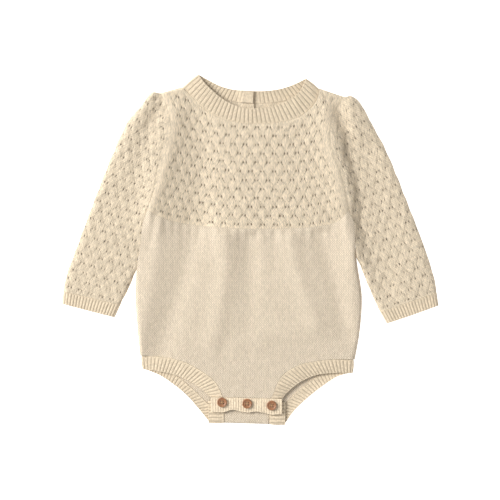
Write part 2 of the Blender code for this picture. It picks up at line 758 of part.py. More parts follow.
def make_holes(name, x, y, base):
    """The tool that cuts a button's four holes."""
    bm = bmesh.new()
    half = HOLE_SPACING / 2
    for dx, dy in ((-half, -half), (half, -half), (half, half), (-half, half)):
        made = bmesh.ops.create_cone(
            bm, cap_ends=True, segments=HOLE_SIDES, radius1=HOLE_DIAMETER / 2 * MM,
            radius2=HOLE_DIAMETER / 2 * MM, depth=3 * BUTTON_THICKNESS * MM,
        )
        offset = Vector((x + dx, y + dy, base + BUTTON_THICKNESS / 2)) * MM
        bmesh.ops.translate(bm, vec=offset, verts=made["verts"])
    mesh = bpy.data.meshes.new(name)
    bm.to_mesh(mesh)
    bm.free()
    item = bpy.data.objects.new(name, mesh)
    bpy.context.scene.collection.objects.link(item)
    item.hide_render = True
    item.display_type = "WIRE"
    return item


def make_button(place, x, y, material):
    base = PLACKET_REST + RIB_WALL + GAP
    bm = bmesh.new()
    profile = [
        bm.verts.new(Vector((radius * BUTTON_DIAMETER / 2, 0.0, height * BUTTON_THICKNESS)) * MM)
        for radius, height in BUTTON_PROFILE
    ]
    edges = [bm.edges.new(pair) for pair in zip(profile, profile[1:])]
    bmesh.ops.spin(
        bm, geom=profile + edges, cent=(0, 0, 0), axis=(0, 0, 1), angle=2 * math.pi,
        steps=BUTTON_SIDES, use_merge=True,
    )
    bmesh.ops.remove_doubles(bm, verts=bm.verts, dist=1e-6)
    bmesh.ops.translate(bm, vec=Vector((x, y, base)) * MM, verts=bm.verts)
    bmesh.ops.recalc_face_normals(bm, faces=bm.faces)
    mesh = bpy.data.meshes.new(f"button_{place}")
    bm.to_mesh(mesh)
    bm.free()
    button = add_object(f"button_{place}", mesh, material)
    cut = button.modifiers.new("holes", "BOOLEAN")
    cut.operation = "DIFFERENCE"
    cut.object = make_holes(f"holes_{place}", x, y, base)


def centre_garment():
    """Moves every piece so that the garment's box has its centre over the origin."""
    pieces = [item for item in bpy.data.objects if item.type == "MESH"]
    corners = [vert.co for item in pieces if not item.hide_render for vert in item.data.vertices]
    middle = [(min(co[axis] for co in corners) + max(co[axis] for co in corners)) / 2 for axis in (0, 1)]
    for item in pieces:
        item.data.transform(Matrix.Translation((-middle[0], -middle[1], 0.0)))


def main():
    clear_scene()
    finishes = {name: make_material(name) for name in FINISHES}
    knit, rib, wood = finishes["knit"], finishes["rib"], finishes["wood"]
    make_front_yoke(knit)
    make_back_yokes(knit)
    make_front_body(knit)
    make_back_body(knit)
    for side in ("left", "right"):
        make_sleeve(side, knit, rib)
        make_leg_band(side, rib)
    make_neckband(rib)
    make_placket(rib)
    for place, x, y in BUTTONS:
        make_button(place, x, y, wood)
    centre_garment()


main()
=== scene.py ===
import math

import bmesh
import bpy
import numpy as np
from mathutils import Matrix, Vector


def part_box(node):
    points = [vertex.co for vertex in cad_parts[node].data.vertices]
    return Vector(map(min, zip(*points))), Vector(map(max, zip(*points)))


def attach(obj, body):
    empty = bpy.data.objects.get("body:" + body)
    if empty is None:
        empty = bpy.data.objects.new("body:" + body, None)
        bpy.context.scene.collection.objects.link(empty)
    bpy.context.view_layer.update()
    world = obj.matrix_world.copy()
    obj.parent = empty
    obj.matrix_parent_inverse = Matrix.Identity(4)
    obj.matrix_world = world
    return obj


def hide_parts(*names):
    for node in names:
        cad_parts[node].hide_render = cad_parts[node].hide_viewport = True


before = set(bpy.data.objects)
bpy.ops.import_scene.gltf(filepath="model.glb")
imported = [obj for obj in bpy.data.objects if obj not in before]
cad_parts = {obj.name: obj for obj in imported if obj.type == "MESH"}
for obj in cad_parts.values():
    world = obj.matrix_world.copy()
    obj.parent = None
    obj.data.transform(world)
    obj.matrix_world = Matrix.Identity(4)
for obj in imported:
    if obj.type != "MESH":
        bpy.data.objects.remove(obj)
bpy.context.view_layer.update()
mm = 0.001
print("frame loaded")

# All tables are in millimetres. Left and right are the viewer's.
garment = {
    "wall": 1.3,          # plain and bubble knit
    "ribWall": 1.5,       # ribbed bands, between a front rib and a back rib
    "seamGap": 0.06,      # between pieces at a seam
    "frontHeight": 8.0,   # outer face of the front layer
    "frontLowest": 3.9,   # no trough sinks below this
    "floorGap": 0.05,
    "sideHeight": 3.0,    # where the front and the back meet
    "touch": {"left": (-38.0, -8.0), "right": (-22.0, 10.0)},  # up from here a sleeve lies against the body
    "touchEnd": (60.0, 100.0),
    "touchDrop": 0.2,     # how far the two bend down there
    "sideRoll": 4.0,      # how far from a side the front bends down
    "backRoll": 5.0,
    "furrow": 1.6,        # half width of the furrow along a seam
    "shareStep": 1e-3,    # for the direction of a line
    "foldPoints": 41, "seamPoints": 61, "creasePoints": 13,  # along a fold, a seam and a crease
}

corners = {
    "underarmLeft": (-112.5, 44.0), "underarmRight": (108.5, 42.0),
    "shoulderLeft": (-98.0, 171.8), "shoulderRight": (103.3, 167.8),
    "neckLeft": (-75.5, 178.2), "neckRight": (77.0, 176.6),
    "peakLeft": (-57.2, 192.5), "peakRight": (61.9, 188.1),
    "legLeft": (-120.9, -116.0), "legRight": (115.2, -120.6),
    "hemLeft": (-118.4, -130.8), "hemRight": (113.6, -135.3),
    "placketLeft": (-29.5, -161.8), "placketRight": (23.0, -163.2),
    "crotchLeft": (-28.5, -188.4), "crotchRight": (21.5, -189.9),
}

# Each seam or edge runs through these points, or named corners.
seams = {
    "yoke": ["underarmLeft", (-102.3, 38.0), (-88.0, 32.2), (-71.5, 28.6), (-44.0, 25.3), (0.0, 22.6),
             (44.0, 23.4), (79.2, 25.9), (95.0, 30.5), "underarmRight"],
    "armholeLeft": ["underarmLeft", (-103.6, 65.5), (-94.6, 98.5), (-87.6, 125.0), (-88.2, 146.0),
                    "shoulderLeft"],
    "armholeRight": ["underarmRight", (104.5, 62.0), (97.8, 88.0), (90.0, 107.0), (87.5, 126.0),
                     (91.5, 146.5), "shoulderRight"],
    "sideLeft": ["underarmLeft", (-117.2, 29.2), (-121.0, -0.6), (-124.3, -22.6), (-125.7, -50.0),
                 (-124.3, -80.0), "legLeft"],
    "sideRight": ["underarmRight", (114.0, 29.2), (115.5, -0.6), (118.0, -18.2), (122.8, -52.0),
                  (120.7, -88.0), "legRight"],
    "neckFront": ["neckLeft", (-65.3, 169.0), (-52.3, 156.0), (-34.3, 145.2), (-16.5, 139.8), (5.1, 138.1),
                  (31.2, 139.3), (55.0, 146.4), (70.8, 160.7), "neckRight"],
    "neckFrontEdge": ["peakLeft", (-47.3, 180.2), (-34.1, 168.3), (-21.0, 160.1), (-6.2, 155.1),
                      (5.3, 154.8), (22.8, 156.8), (40.4, 163.0), (53.5, 172.2), "peakRight"],
    "neckBack": ["neckLeft", (-58.0, 173.0), (-38.0, 166.5), (-18.0, 162.4), (2.0, 160.6), (24.0, 161.0),
                 (44.0, 164.6), (62.0, 170.8), "neckRight"],
    "neckBackEdge": ["peakLeft", (-42.9, 184.6), (-31.6, 179.3), (-16.6, 175.5), (2.0, 174.3),
                     (14.1, 174.2), (31.6, 176.2), (47.3, 181.0), "peakRight"],
    "legFrontLeft": ["placketLeft", (-38.3, -144.7), (-55.8, -131.5), (-73.3, -122.7), (-92.6, -118.3),
                     "legLeft"],
    "legFrontLeftEdge": [(-43.0, -161.8), (-53.9, -152.4), (-68.2, -143.6), (-85.6, -136.7),
                         (-104.0, -133.0), "hemLeft"],
    "legFrontRight": ["placketRight", (35.1, -138.5), (52.6, -127.1), (70.2, -122.7), (91.3, -120.4),
                      "legRight"],
    "legFrontRightEdge": [(35.4, -163.4), (39.6, -157.9), (52.6, -147.2), (70.2, -138.5),
                          (92.0, -135.4), "hemRight"],
    "legBackLeft": ["crotchLeft", (-43.5, -172.5), (-51.7, -164.2), (-64.9, -151.4), (-85.8, -135.2),
                    "legLeft"],
    "legBackLeftEdge": [(-45.6, -188.4), (-55.6, -176.0), (-71.8, -158.2), (-95.0, -140.6),
                        (-110.0, -133.4), "hemLeft"],
    "legBackRight": ["crotchRight", (39.0, -169.5), (55.9, -152.8), (76.2, -137.6), (95.0, -127.8),
                     "legRight"],
    "legBackRightEdge": [(38.8, -190.4), (48.8, -176.8), (67.5, -159.4), (92.4, -141.4),
                         (104.0, -136.8), "hemRight"],
    "placketTop": [(-42.9, -162.1), (35.4, -164.0)],
    "placketEdge": [(-42.9, -178.0), (-30.0, -178.4), (-18.8, -175.7), (-10.0, -177.6), (-1.8, -178.7),
                    (7.4, -177.6), (24.4, -181.0), (35.4, -180.2)],
}
neckShares = (0.16, 0.86)                        # where a yoke's shoulders end, along its top
crotchShares = (0.16 + 0.7 / 3, 0.16 + 1.4 / 3)  # where a skirt's leg seams end, along its bottom

# The garment's tables lie beside the frame by this much: the middle button tells.
buttonPlaces = {"left": (-30.6, -167.4), "middle": (-3.2, -168.7), "right": (23.7, -170.8)}
low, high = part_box("button_middle")
shift = np.array([(low.x + high.x) / 2 / mm, (low.y + high.y) / 2 / mm]) - buttonPlaces["middle"]


# Lines and patches in the plan. A line is a function of the share of its length.

def runAlong(points):
    # how far each point is along the line through them all
    return np.concatenate([[0.0], np.cumsum(np.linalg.norm(np.diff(points, axis=0), axis=1))])


def sampled(curve, count):
    return curve(np.linspace(0, 1, count))


def smoothLine(points):
    points = np.array([corners[p] if isinstance(p, str) else p for p in points], float) + shift
    run = runAlong(points)
    ahead = np.concatenate([points[1:], points[-1:]]) - np.concatenate([points[:1], points[:-1]])
    stretch = np.concatenate([run[1:], run[-1:]]) - np.concatenate([run[:1], run[:-1]])
    slope = ahead / stretch[:, None]

    def at(share):
        reach = np.asarray(share, float) * run[-1]
        k = np.clip(np.searchsorted(run, reach, side="right") - 1, 0, len(points) - 2)
        span = (run[k + 1] - run[k])[..., None]
        t = (reach - run[k])[..., None] / span
        bend = (slope[k] * t * (1 - t) ** 2 + slope[k + 1] * t * t * (t - 1)) * span
        return points[k] * (1 + 2 * t) * (1 - t) ** 2 + points[k + 1] * t * t * (3 - 2 * t) + bend

    return at


def backwards(curve):
    return lambda share: curve(1 - np.asarray(share, float))


def beside(curve, distance):
    # the line at a distance to the left of another
    step = garment["shareStep"]

    def at(share):
        share = np.asarray(share, float)
        ahead = curve(np.minimum(share + step, 1)) - curve(np.maximum(share - step, 0))
        side = np.stack([-ahead[..., 1], ahead[..., 0]], -1)
        return curve(share) + side * distance / np.linalg.norm(side, axis=-1, keepdims=True)

    return at


def chain(*links):
    # lines one after the other, each with the share at which it ends
    def at(share):
        share = np.asarray(share, float)
        found, start = None, 0.0
        for end, curve in links:
            there = curve(np.clip((share - start) / (end - start), 0, 1))
            found = there if found is None else np.where((share >= start)[..., None], there, found)
            start = end
        return found

    return at


def patch(left, right, bottom, top):
    # the plan between four lines, as a function of shares across it and up it
    def at(u, v):
        a, b = u[..., None], v[..., None]
        ends = [np.asarray(curve(np.array(share))) for curve in (bottom, top) for share in (0.0, 1.0)]
        flat = (ends[0] * (1 - a) + ends[1] * a) * (1 - b) + (ends[2] * (1 - a) + ends[3] * a) * b
        return left(v) * (1 - a) + right(v) * a + bottom(u) * (1 - b) + top(u) * b - flat

    return at


def spaced(length, step, fine=(0.0, 0.25, 0.6, 1.1, 1.8, 2.7, 3.8, 5.1, 6.6), fineEnd=True):
    # shares along a length, closer together at its ends
    tail = [length - d for d in fine[-2::-1]] if fineEnd else []
    last = length - fine[-1] if fineEnd else length
    middle = np.linspace(fine[-1], last, max(2, round((last - fine[-1]) / step) + 1))
    return np.concatenate([fine[:-1], middle, tail]) / length


def ease(x):
    x = np.clip(x, 0, 1)
    return x * x * (3 - 2 * x)


def between(x, span):
    # 0 before the span, 1 after it, eased in it
    start, end = span
    return ease((x - start) / (end - start))


def nearest(line, x, y):
    # distance to a sampled line, and the share of it where that is
    best, share = np.full(x.shape, 1e9), np.zeros(x.shape)
    for k in range(len(line) - 1):
        start, along = line[k], line[k + 1] - line[k]
        t = np.clip(((x - start[0]) * along[0] + (y - start[1]) * along[1]) / (along @ along), 0, 1)
        d = np.hypot(x - start[0] - along[0] * t, y - start[1] - along[1] * t)
        share = np.where(d < best, (k + t) / (len(line) - 1), share)
        best = np.minimum(d, best)
    return best, share


# Soft ridges and troughs of the upper layer, which run on from panel to panel: where each starts, passes
# and ends, its half width, and its height there at the start and the end.
creases = [
    # left armhole, then down the body's left side
    ((-80, 152), (-90, 100), (-109, 42), 7.0, 1.0, 2.8),
    ((-83, 150), (-93, 90), (-106, 30), 15.0, 2.2, 4.6),
    ((-100, 36), (-107, -30), (-124, -112), 11.0, 2.6, 2.4),
    ((-103, 38), (-106, 22), (-109, 4), 4.5, -2.4, -1.0),
    ((-57, 140), (-54, 88), (-58, 30), 15.0, -2.6, -4.2),
    ((-60, 30), (-74, -30), (-98, -112), 13.0, -3.6, -2.4),
    # yoke
    ((-8, 112), (-8, 72), (-10, 34), 20.0, 0.6, 0.9),
    ((50, 112), (51, 72), (53, 32), 18.0, -1.0, -1.0),
    # right armhole and the sunk inner part of the right sleeve
    ((83, 142), (93, 98), (103, 50), 13.0, 5.6, 6.8),
    ((107, 29), (112, 12), (115, -14), 10.0, 4.8, 2.6),
    ((99, 153), (105, 132), (116, 104), 8.0, -3.8, -7.0),
    ((119, 104), (128, 62), (136, 30), 13.0, -6.4, -6.4),
    ((136, 30), (141, 0), (147, -42), 14.0, -6.0, -3.0),
    ((109, 158), (114, 128), (129, 92), 6.0, 1.8, 0.8),
    # left sleeve: pleats of the cap, then long soft folds
    ((-96, 163), (-99, 153), (-103, 141), 2.2, -1.8, -0.6),
    ((-91, 156), (-96, 149), (-102, 142), 2.0, -1.6, -0.4),
    ((-97, 168), (-105, 163), (-114, 155), 2.2, -1.6, -0.4),
    ((-103, 150), (-112, 138), (-121, 124), 3.0, -1.2, -0.4),
    ((-100, 158), (-112, 126), (-122, 84), 8.0, -2.2, -0.8),
    ((-112, 160), (-130, 126), (-141, 78), 10.0, 1.6, 0.5),
    # right sleeve
    ((113, 160), (122, 146), (130, 130), 3.0, -0.8, -0.3),
    ((136, 124), (148, 60), (164, 0), 17.0, -1.5, -1.7),
]
# The same below the yoke alone, from the left to the right, then the low swag and the dents beside it.
skirtCreases = [
    ((-28, 26), (-27, -25), (-38, -96), 12.0, 4.4, 2.0),
    ((0, 24), (1, -28), (-2, -92), 10.0, -3.0, -1.0),
    ((23, 24), (25, -20), (27, -62), 8.0, -1.0, -0.3),
    ((43, 25), (51, -20), (74, -84), 10.0, 3.0, 1.9),
    ((74, 26), (88, -20), (106, -92), 11.0, -3.6, -2.4),
    ((108, 20), (112, -24), (113, -84), 8.0, 1.4, 1.2),
    ((-20, -104), (20, -92), (70, -84), 10.0, 0.9, 1.1),
    ((0, -118), (40, -116), (84, -108), 10.0, -0.3, -0.3),
    ((8, -112), (12, -108), (14, -103), 6.0, 0.5, 0.6),
    ((-46, -98), (-45, -106), (-42, -116), 7.0, 0.7, 0.5),
    ((-28, -102), (-28, -110), (-30, -120), 7.0, -0.8, -0.5),
]
creaseStart = 9.0   # how far below the yoke they reach their height


def heightOf(rows, x, y):
    height = np.zeros(x.shape)
    for start, middle, end, halfWidth, first, last in rows:
        line = sampled(smoothLine([start, middle, end]), garment["creasePoints"])
        d, share = nearest(line, x, y)
        height += (first + (last - first) * share) * np.exp(-(d / halfWidth) ** 2)
    return height


seam = {name: smoothLine(points) for name, points in seams.items()}
seam["shoulderLeft"] = smoothLine(["shoulderLeft", "neckLeft"])
seam["shoulderRight"] = smoothLine(["neckRight", "shoulderRight"])
folds = {name: sampled(seam[name], garment["foldPoints"]) for name in
         ("sideLeft", "sideRight", "shoulderLeft", "shoulderRight")}
seamLines = {name: sampled(seam[name], garment["seamPoints"]) for name in
             ("yoke", "armholeLeft", "armholeRight", "neckFront", "neckBack")}


def reliefOf(x, y):
    below = np.interp(x, seamLines["yoke"][:, 0], seamLines["yoke"][:, 1]) - y
    return heightOf(creases, x, y) + heightOf(skirtCreases, x, y) * ease(below / creaseStart)


def furrow(name, x, y, depth):
    return -depth * np.exp(-(nearest(seamLines[name], x, y)[0] / garment["furrow"]) ** 2)


def bentDown(x, y, roll):
    # 0 at a fold of the body, 1 from the roll's distance on, round in between
    distance = np.minimum.reduce([nearest(line, x, y)[0] for line in folds.values()])
    return np.sqrt(1 - np.clip(1 - distance / roll, 0, 1) ** 2)


def raised(height, lowest):
    # softly kept above the layer beneath
    over = height - lowest
    return lowest + (over + np.sqrt(over ** 2 + 1)) / 2


def sideTop(x, y, top, low):
    # height of a side edge: low, but near the top of the cloth where a sleeve lies against the body
    spans = [between(y, span) for span in garment["touch"].values()]
    share = np.where(x < shift[0], *spans) * (1 - between(y, garment["touchEnd"]))
    return low + (top - garment["touchDrop"] - low) * share


def bodyPatch(layer, bottom):
    top = beside(seam["yoke"], -garment["seamGap"])
    start, end = crotchShares
    hem = chain((start, backwards(seam[f"leg{layer}Left"])), (end, bottom),
                (1.0, seam[f"leg{layer}Right"]))
    return patch(backwards(seam["sideLeft"]), backwards(seam["sideRight"]), hem, top)


def yokePatch(neck):
    start, end = neckShares
    top = chain((start, seam["shoulderLeft"]), (end, seam[neck]), (1.0, seam["shoulderRight"]))
    return patch(seam["armholeLeft"], seam["armholeRight"], seam["yoke"], top)


# Shells of cloth.

def stepsAlong(points, axis, closed):
    if closed and axis == 1:  # its last column is its first
        ring = points[:, :-1]
        step = np.roll(ring, -1, 1) - np.roll(ring, 1, 1)
        return np.concatenate([step, step[:, :1]], 1)
    return np.gradient(points, axis=axis)


def facing(points, closed=False):
    # unit normals of a grid of points
    normal = np.cross(stepsAlong(points, 1, closed), stepsAlong(points, 0, closed))
    return normal / np.maximum(np.linalg.norm(normal, axis=-1, keepdims=True), 1e-9)


def outwards(normal, row, column):
    # all turned round if the one at a row and a column points down
    return -normal if normal[row, column, 2] < 0 else normal


def meshOf(name, bm):
    mesh = bpy.data.meshes.new(name)
    bm.to_mesh(mesh)
    bm.free()
    return mesh


def placed(name, data):
    item = bpy.data.objects.new(name, data)
    bpy.context.scene.collection.objects.link(item)
    return item


def clothShell(name, outer, inner, flat, marks, closed=False, keep=None):
    # a grid of cloth with an outer and an inner face; keep says which of its cells stay
    rows, columns = outer.shape[:2]
    bm = bmesh.new()
    bmesh.ops.create_grid(bm, x_segments=columns - 1, y_segments=rows - 1, size=0.5)
    place = bm.verts.layers.float_vector.new("place")
    for vert in bm.verts:
        i, j = round((vert.co.x + 0.5) * (columns - 1)), round((vert.co.y + 0.5) * (rows - 1))
        if closed:
            turn = 2 * math.pi * i / (columns - 1)
            vert.co = (math.cos(turn), math.sin(turn), j * 0.1)
            i %= columns - 1
        vert[place] = (i, j, 0)
    if closed:
        bmesh.ops.remove_doubles(bm, verts=bm.verts, dist=1e-5)
    if keep is not None:
        spare = []
        for face in bm.faces:
            i, j = (int(min(vert[place][k] for vert in face.verts)) for k in (0, 1))
            if not keep[j, i]:
                spare.append(face)
        bmesh.ops.delete(bm, geom=spare, context="FACES")
    made = bmesh.ops.extrude_face_region(bm, geom=bm.faces[:], use_keep_orig=True)
    for item in made["geom"]:
        if isinstance(item, bmesh.types.BMVert):
            i, j, _ = item[place]
            item[place] = (i, j, 1)
    mesh = meshOf(name, bm)
    index = np.zeros(len(mesh.vertices) * 3, np.float32)
    mesh.attributes["place"].data.foreach_get("vector", index)
    i, j, side = np.rint(index.reshape(-1, 3)).astype(int).T
    co = np.where(side[:, None] == 0, outer[j, i], inner[j, i]) * mm
    co[:, 2] = np.maximum(co[:, 2], garment["floorGap"] * mm)
    mesh.vertices.foreach_set("co", co.astype(np.float32).ravel())
    mesh.attributes.remove(mesh.attributes["place"])
    # the cloth's own coordinates, in centimetres, for its stitches
    loops = np.zeros(len(mesh.loops), np.int32)
    mesh.loops.foreach_get("vertex_index", loops)
    at = flat[j, i][loops]
    mesh.uv_layers.new(name="cloth").uv.foreach_set("vector", (at / 10).astype(np.float32).ravel())
    for mark, values in marks.items():
        layer = mesh.attributes.new(mark, "FLOAT", "POINT")
        layer.data.foreach_set("value", values[j, i].astype(np.float32))
    return finished(name, mesh)


def finished(name, mesh):
    # its object, with its faces turned outwards
    mesh.update()
    mesh.calc_loop_triangles()
    triangles = np.zeros(len(mesh.loop_triangles) * 3, np.int32)
    mesh.loop_triangles.foreach_get("vertices", triangles)
    co = np.zeros(len(mesh.vertices) * 3, np.float32)
    mesh.vertices.foreach_get("co", co)
    a, b, c = co.reshape(-1, 3)[triangles.reshape(-1, 3)].transpose(1, 0, 2)
    if (a * np.cross(b, c)).sum() < 0:
        mesh.flip_normals()
    mesh.shade_smooth()
    print(f"{name}: {len(triangles) // 3} triangles")
    return placed(name, mesh)


# Materials: sums on sockets.

class Value:
    def __init__(self, board, socket):
        self.board, self.socket = board, socket

    def maths(self, operation, *others):
        return self.board.add("ShaderNodeMath", {"operation": operation}, dict(enumerate((self, *others))))

    def __add__(self, other):
        return self.maths("ADD", other)

    def __sub__(self, other):
        return self.maths("SUBTRACT", other)

    def __rsub__(self, other):
        return self * -1 + other

    def __mul__(self, other):
        return self.maths("MULTIPLY", other)

    def __truediv__(self, other):
        return self.maths("DIVIDE", other)

    def __pow__(self, other):
        return self.maths("POWER", other)

    def __abs__(self):
        return self.maths("ABSOLUTE")

    def clamped(self):
        return self.maths("MAXIMUM", 0.0).maths("MINIMUM", 1.0)


class Board:
    def __init__(self, name, roughness, **fixed):
        self.material = bpy.data.materials.new(name)
        self.material.use_nodes = True
        self.tree = self.material.node_tree
        self.shader = self.tree.nodes["Principled BSDF"]
        self.shader.inputs["Roughness"].default_value = roughness
        for socket, value in fixed.items():
            self.shader.inputs[socket.replace("_", " ")].default_value = value

    def add(self, kind, settings=None, inputs=None, output=0):
        node = self.tree.nodes.new(kind)
        for key, value in (settings or {}).items():
            setattr(node, key, value)
        for key, value in (inputs or {}).items():
            if isinstance(value, Value):
                self.tree.links.new(value.socket, node.inputs[key])
            else:
                node.inputs[key].default_value = value
        return Value(self, node.outputs[output])

    def mixed(self, share, one, other):
        one, other = [(*c, 1) if isinstance(c, tuple) else c for c in (one, other)]
        return self.add("ShaderNodeMix", {"data_type": "RGBA"}, {0: share, 6: one, 7: other}, 2)

    def tinted(self, color, factor):
        # a colour times a number
        grey = self.add("ShaderNodeCombineColor", inputs={0: factor, 1: factor, 2: factor})
        return self.add("ShaderNodeMix", {"data_type": "RGBA", "blend_type": "MULTIPLY"},
                        {0: 1.0, 6: color, 7: grey}, 2)

    def noise(self, where, scale, detail=2.0):
        return self.add("ShaderNodeTexNoise", inputs={"Vector": where, "Scale": scale, "Detail": detail})

    def chance(self, *cell):
        # an even chance from 0 to 1, one for each cell
        vector = self.add("ShaderNodeCombineXYZ", inputs=dict(enumerate(cell)))
        return self.add("ShaderNodeTexWhiteNoise", {"noise_dimensions": f"{len(cell)}D"}, {"Vector": vector})

    def mark(self, name):
        return self.add("ShaderNodeAttribute", {"attribute_name": name}, output=2)

    def bump(self, height, strength, distance):
        self.plug("Normal", self.add("ShaderNodeBump", inputs={"Strength": strength, "Distance": distance,
                                                               "Height": height}))

    def plug(self, socket, value):
        self.tree.links.new(value.socket, self.shader.inputs[socket])


# A look says how dark the painted shade in the gaps between stitches is, how uneven the stitches, how bright
# it all is, how flecked, and its share of green and of blue.
yarn = {
    "color": (0.815, 0.705, 0.535),
    "deep": (0.28, 0.220, 0.140),         # the cream where the light is lost between stitches
    # painted shade, dark brown, in the eyelets, the open gaps, the valleys between bubbles and the grooves
    # between ribs
    "holeShade": (0.13, 0.085, 0.045),
    "width": 2.5, "height": 2.65,         # one stitch
    "slant": 2.0,                         # how steeply a stitch's legs lean
    "columnGap": (4.0, 0.5),              # between two columns: how narrow and how deep, in the bump and in painted shade
    "middleGap": (9.0, 0.3),              # between a stitch's two legs
    "round": 0.7,
    "plain": {"dark": 0.95, "uneven": 0.17, "bright": 1.24, "flecked": 0.10, "green": 1.0, "blue": 1.055},
    "bubble": {"dark": 0.4, "uneven": 0.25, "bright": 1.07, "flecked": 0.45, "green": 0.977, "blue": 0.963},
    "rib": {"dark": 0.2, "uneven": 0.2, "bright": 0.93, "flecked": 0.15, "green": 0.962, "blue": 0.925},
    "waver": 0.5, "waverScale": 260.0, "waverUp": 0.8,
    "cloudScale": 14.0, "cloud": 0.06,
    "fleckScale": 900.0, "fleck": 0.15,
    "bump": 0.45, "bumpStrength": 0.9,    # of the stitches, in mm
    "roughness": 0.92, "sheen": 0.12, "sheenRoughness": 0.5,
}


def knitBoard(name, waver):
    # a board for knitted cloth, the cloth's own coordinates in millimetres, and the place in space
    board = Board(name, yarn["roughness"], Sheen_Weight=yarn["sheen"], Sheen_Roughness=yarn["sheenRoughness"])
    uv = board.add("ShaderNodeUVMap", {"uv_map": "cloth"})
    split = board.add("ShaderNodeSeparateXYZ", inputs={0: uv})
    x, y = [Value(board, split.socket.node.outputs[k]) * 10 for k in (0, 1)]
    place = board.add("ShaderNodeTexCoord", output=3)
    wobble = board.noise(place, yarn["waverScale"], 1.0) - 0.5
    return board, x + wobble * waver, y + wobble * waver * yarn["waverUp"], place


def stitches(board, x, y):
    # 1 on the crown of a knit stitch's two legs, 0 between them, each stitch's own shade and its grain
    column = x / yarn["width"]
    across = abs(column.maths("FRACT") - 0.5)
    row = y / yarn["height"] - across * yarn["slant"]
    narrow, deep = yarn["columnGap"]
    leg = 1 - (across * 2) ** narrow * deep
    narrow, deep = yarn["middleGap"]
    leg = leg * (1 - (1 - across * narrow).clamped() * deep)
    crown = leg * ((1 - abs(row.maths("FRACT") * 2 - 1)).clamped() ** yarn["round"])
    leg = (column * 2).maths("FLOOR")
    shade = board.chance(leg, row.maths("FLOOR"))
    grain = board.chance(leg, (row * 2).maths("FLOOR"), 0.5)
    return crown, shade, grain


def yarnFinish(board, place, crown, shade, grain, paintedShade, bump, look, tone=1.0):
    # colour and relief of the yarn from its crowns and its holes: painted shade between the stitches and in
    # the holes
    red, green, blue = yarn["color"]
    cloud = board.noise(place, yarn["cloudScale"]) * yarn["cloud"] + (1 - yarn["cloud"] / 2)
    fleck = board.noise(place, yarn["fleckScale"])
    # painted shade between the stitches' legs and rows, with a random tone for each stitch
    shadeAndTone = crown * look["dark"] + (1 - look["dark"]) + (shade - 0.5) * look["uneven"]
    base = board.mixed(shadeAndTone.clamped(), yarn["deep"], (red, green * look["green"], blue * look["blue"]))
    base = board.tinted(base, cloud * ((grain - 0.5) * look["flecked"] + 1) * (look["bright"] * tone))
    # the painted shade of holes, gaps, valleys and grooves is mixed in
    if paintedShade is not None:
        base = board.mixed(paintedShade.clamped(), base, yarn["holeShade"])
    board.plug("Base Color", base)
    board.bump(bump + fleck * yarn["fleck"], yarn["bumpStrength"], mm)
    return board.material


def plainKnit(name):
    board, x, y, place = knitBoard(name, yarn["waver"])
    crown, shade, grain = stitches(board, x, y)
    return yarnFinish(board, place, crown, shade, grain, None, crown * yarn["bump"], yarn["plain"])


bubble = {
    "pitch": 13.25, "rowPitch": 9.61,
    "lift": 1.3, "fullness": 0.6, "height": 0.98, "sink": 0.55, "uneven": 0.1,
    # eyeDark and valleyDark are the darkness of painted shade in the eyelets and in the valleys round the
    # bubbles; gapDark that in the open gaps between stitches
    "eyeReach": 1.65, "eyeSize": (0.8, 1.3), "eyeDepth": 0.25, "eyeBump": 0.8, "eyeDark": 1.0,
    "valleyDark": 1.1, "valleyRound": 1.6,
    "gapDark": 0.15, "gapVary": 2.6, "gapShut": 1.1, "gapRound": 1.5,
    # eyelets and the gaps round them: reach, rise, half width, half length, darkness of their painted shade
    # and how much that varies
    "gaps": [(1.75, 0.0, 0.42, 1.0, 2.1, 0.9), (3.0, -2.1, 0.36, 0.6, 0.9, 1.3),
             (4.4, -3.9, 0.36, 0.6, 0.7, 1.3)],
    "waver": 1.3,
    "stitchWidth": 1.0, "stitchLength": 3.0, "stitchHeight": 0.3,
}


def bubbleKnit(name, pitch, rowPitch, eyeDark, tone=1.0):
    board, x, y, place = knitBoard(name, bubble["waver"])
    crown, shade, grain = stitches(board, x, y)
    mask, swell = board.mark("bubbles"), board.mark("swell")
    row = (y / rowPitch + 0.5).maths("FLOOR")
    dy = y - row * rowPitch
    odd = (row * 0.5).maths("FRACT") * 2
    column = x / pitch - odd * 0.5 + 0.5
    pair = (column.maths("FRACT") - 0.5) * pitch
    # the eyelets as dark strokes: painted shade in their holes, and a dent in the bump
    eye = None
    for index, (reach, rise, halfWidth, halfLength, dark, vary) in enumerate(bubble["gaps"]):
        own = board.chance((column * 2).maths("FLOOR"), row, index + 0.5) * vary + 1 - vary * 0.6
        across, along = (abs(pair) - reach) / halfWidth, (dy - rise) / halfLength
        stroke = ((across * across + along * along) * -1).maths("EXPONENT") * own * dark
        eye = stroke if eye is None else eye + stroke
    eye = eye * mask
    # painted shade in some of the gaps between stitches, most of them beside the bubbles, and in the valleys
    # round the bubbles
    gap = (1 - crown) ** bubble["gapRound"] * (shade * bubble["gapVary"] - bubble["gapShut"]).clamped()
    valleyShade = (1 - swell).clamped() ** bubble["valleyRound"] * mask * bubble["valleyDark"]
    paintedShade = (eye * eyeDark + gap * (valleyShade + bubble["gapDark"])).clamped()
    return yarnFinish(board, place, crown, shade, grain, paintedShade,
                      crown * yarn["bump"] - eye * bubble["eyeBump"], yarn["bubble"], tone)


rib = {
    "row": 1.7, "leg": 1.1, "rung": 0.22, "rungRound": 0.6,  # one stitch's height, half its width, its relief
    "waver": 0.35,
    # painted shade in the grooves between ribs: its width, darkness and how much it varies; then the grooves'
    # dent in the bump
    "grooveWidth": 0.44, "groove": 0.34, "grooveVary": 0.36, "grooveBump": 0.3,
    # shares of a band's width: where grooves run out at its seam and how much that varies, and at its edge
    "fade": (0.05, 0.10), "fadeEdge": 0.05,
    "ridge": 0.55, "vary": 0.3,
    "rims": [(0.02, 0.035, 0.5), (1.0, 0.05, 0.4)],          # at the seam and the edge: place, reach, height
}


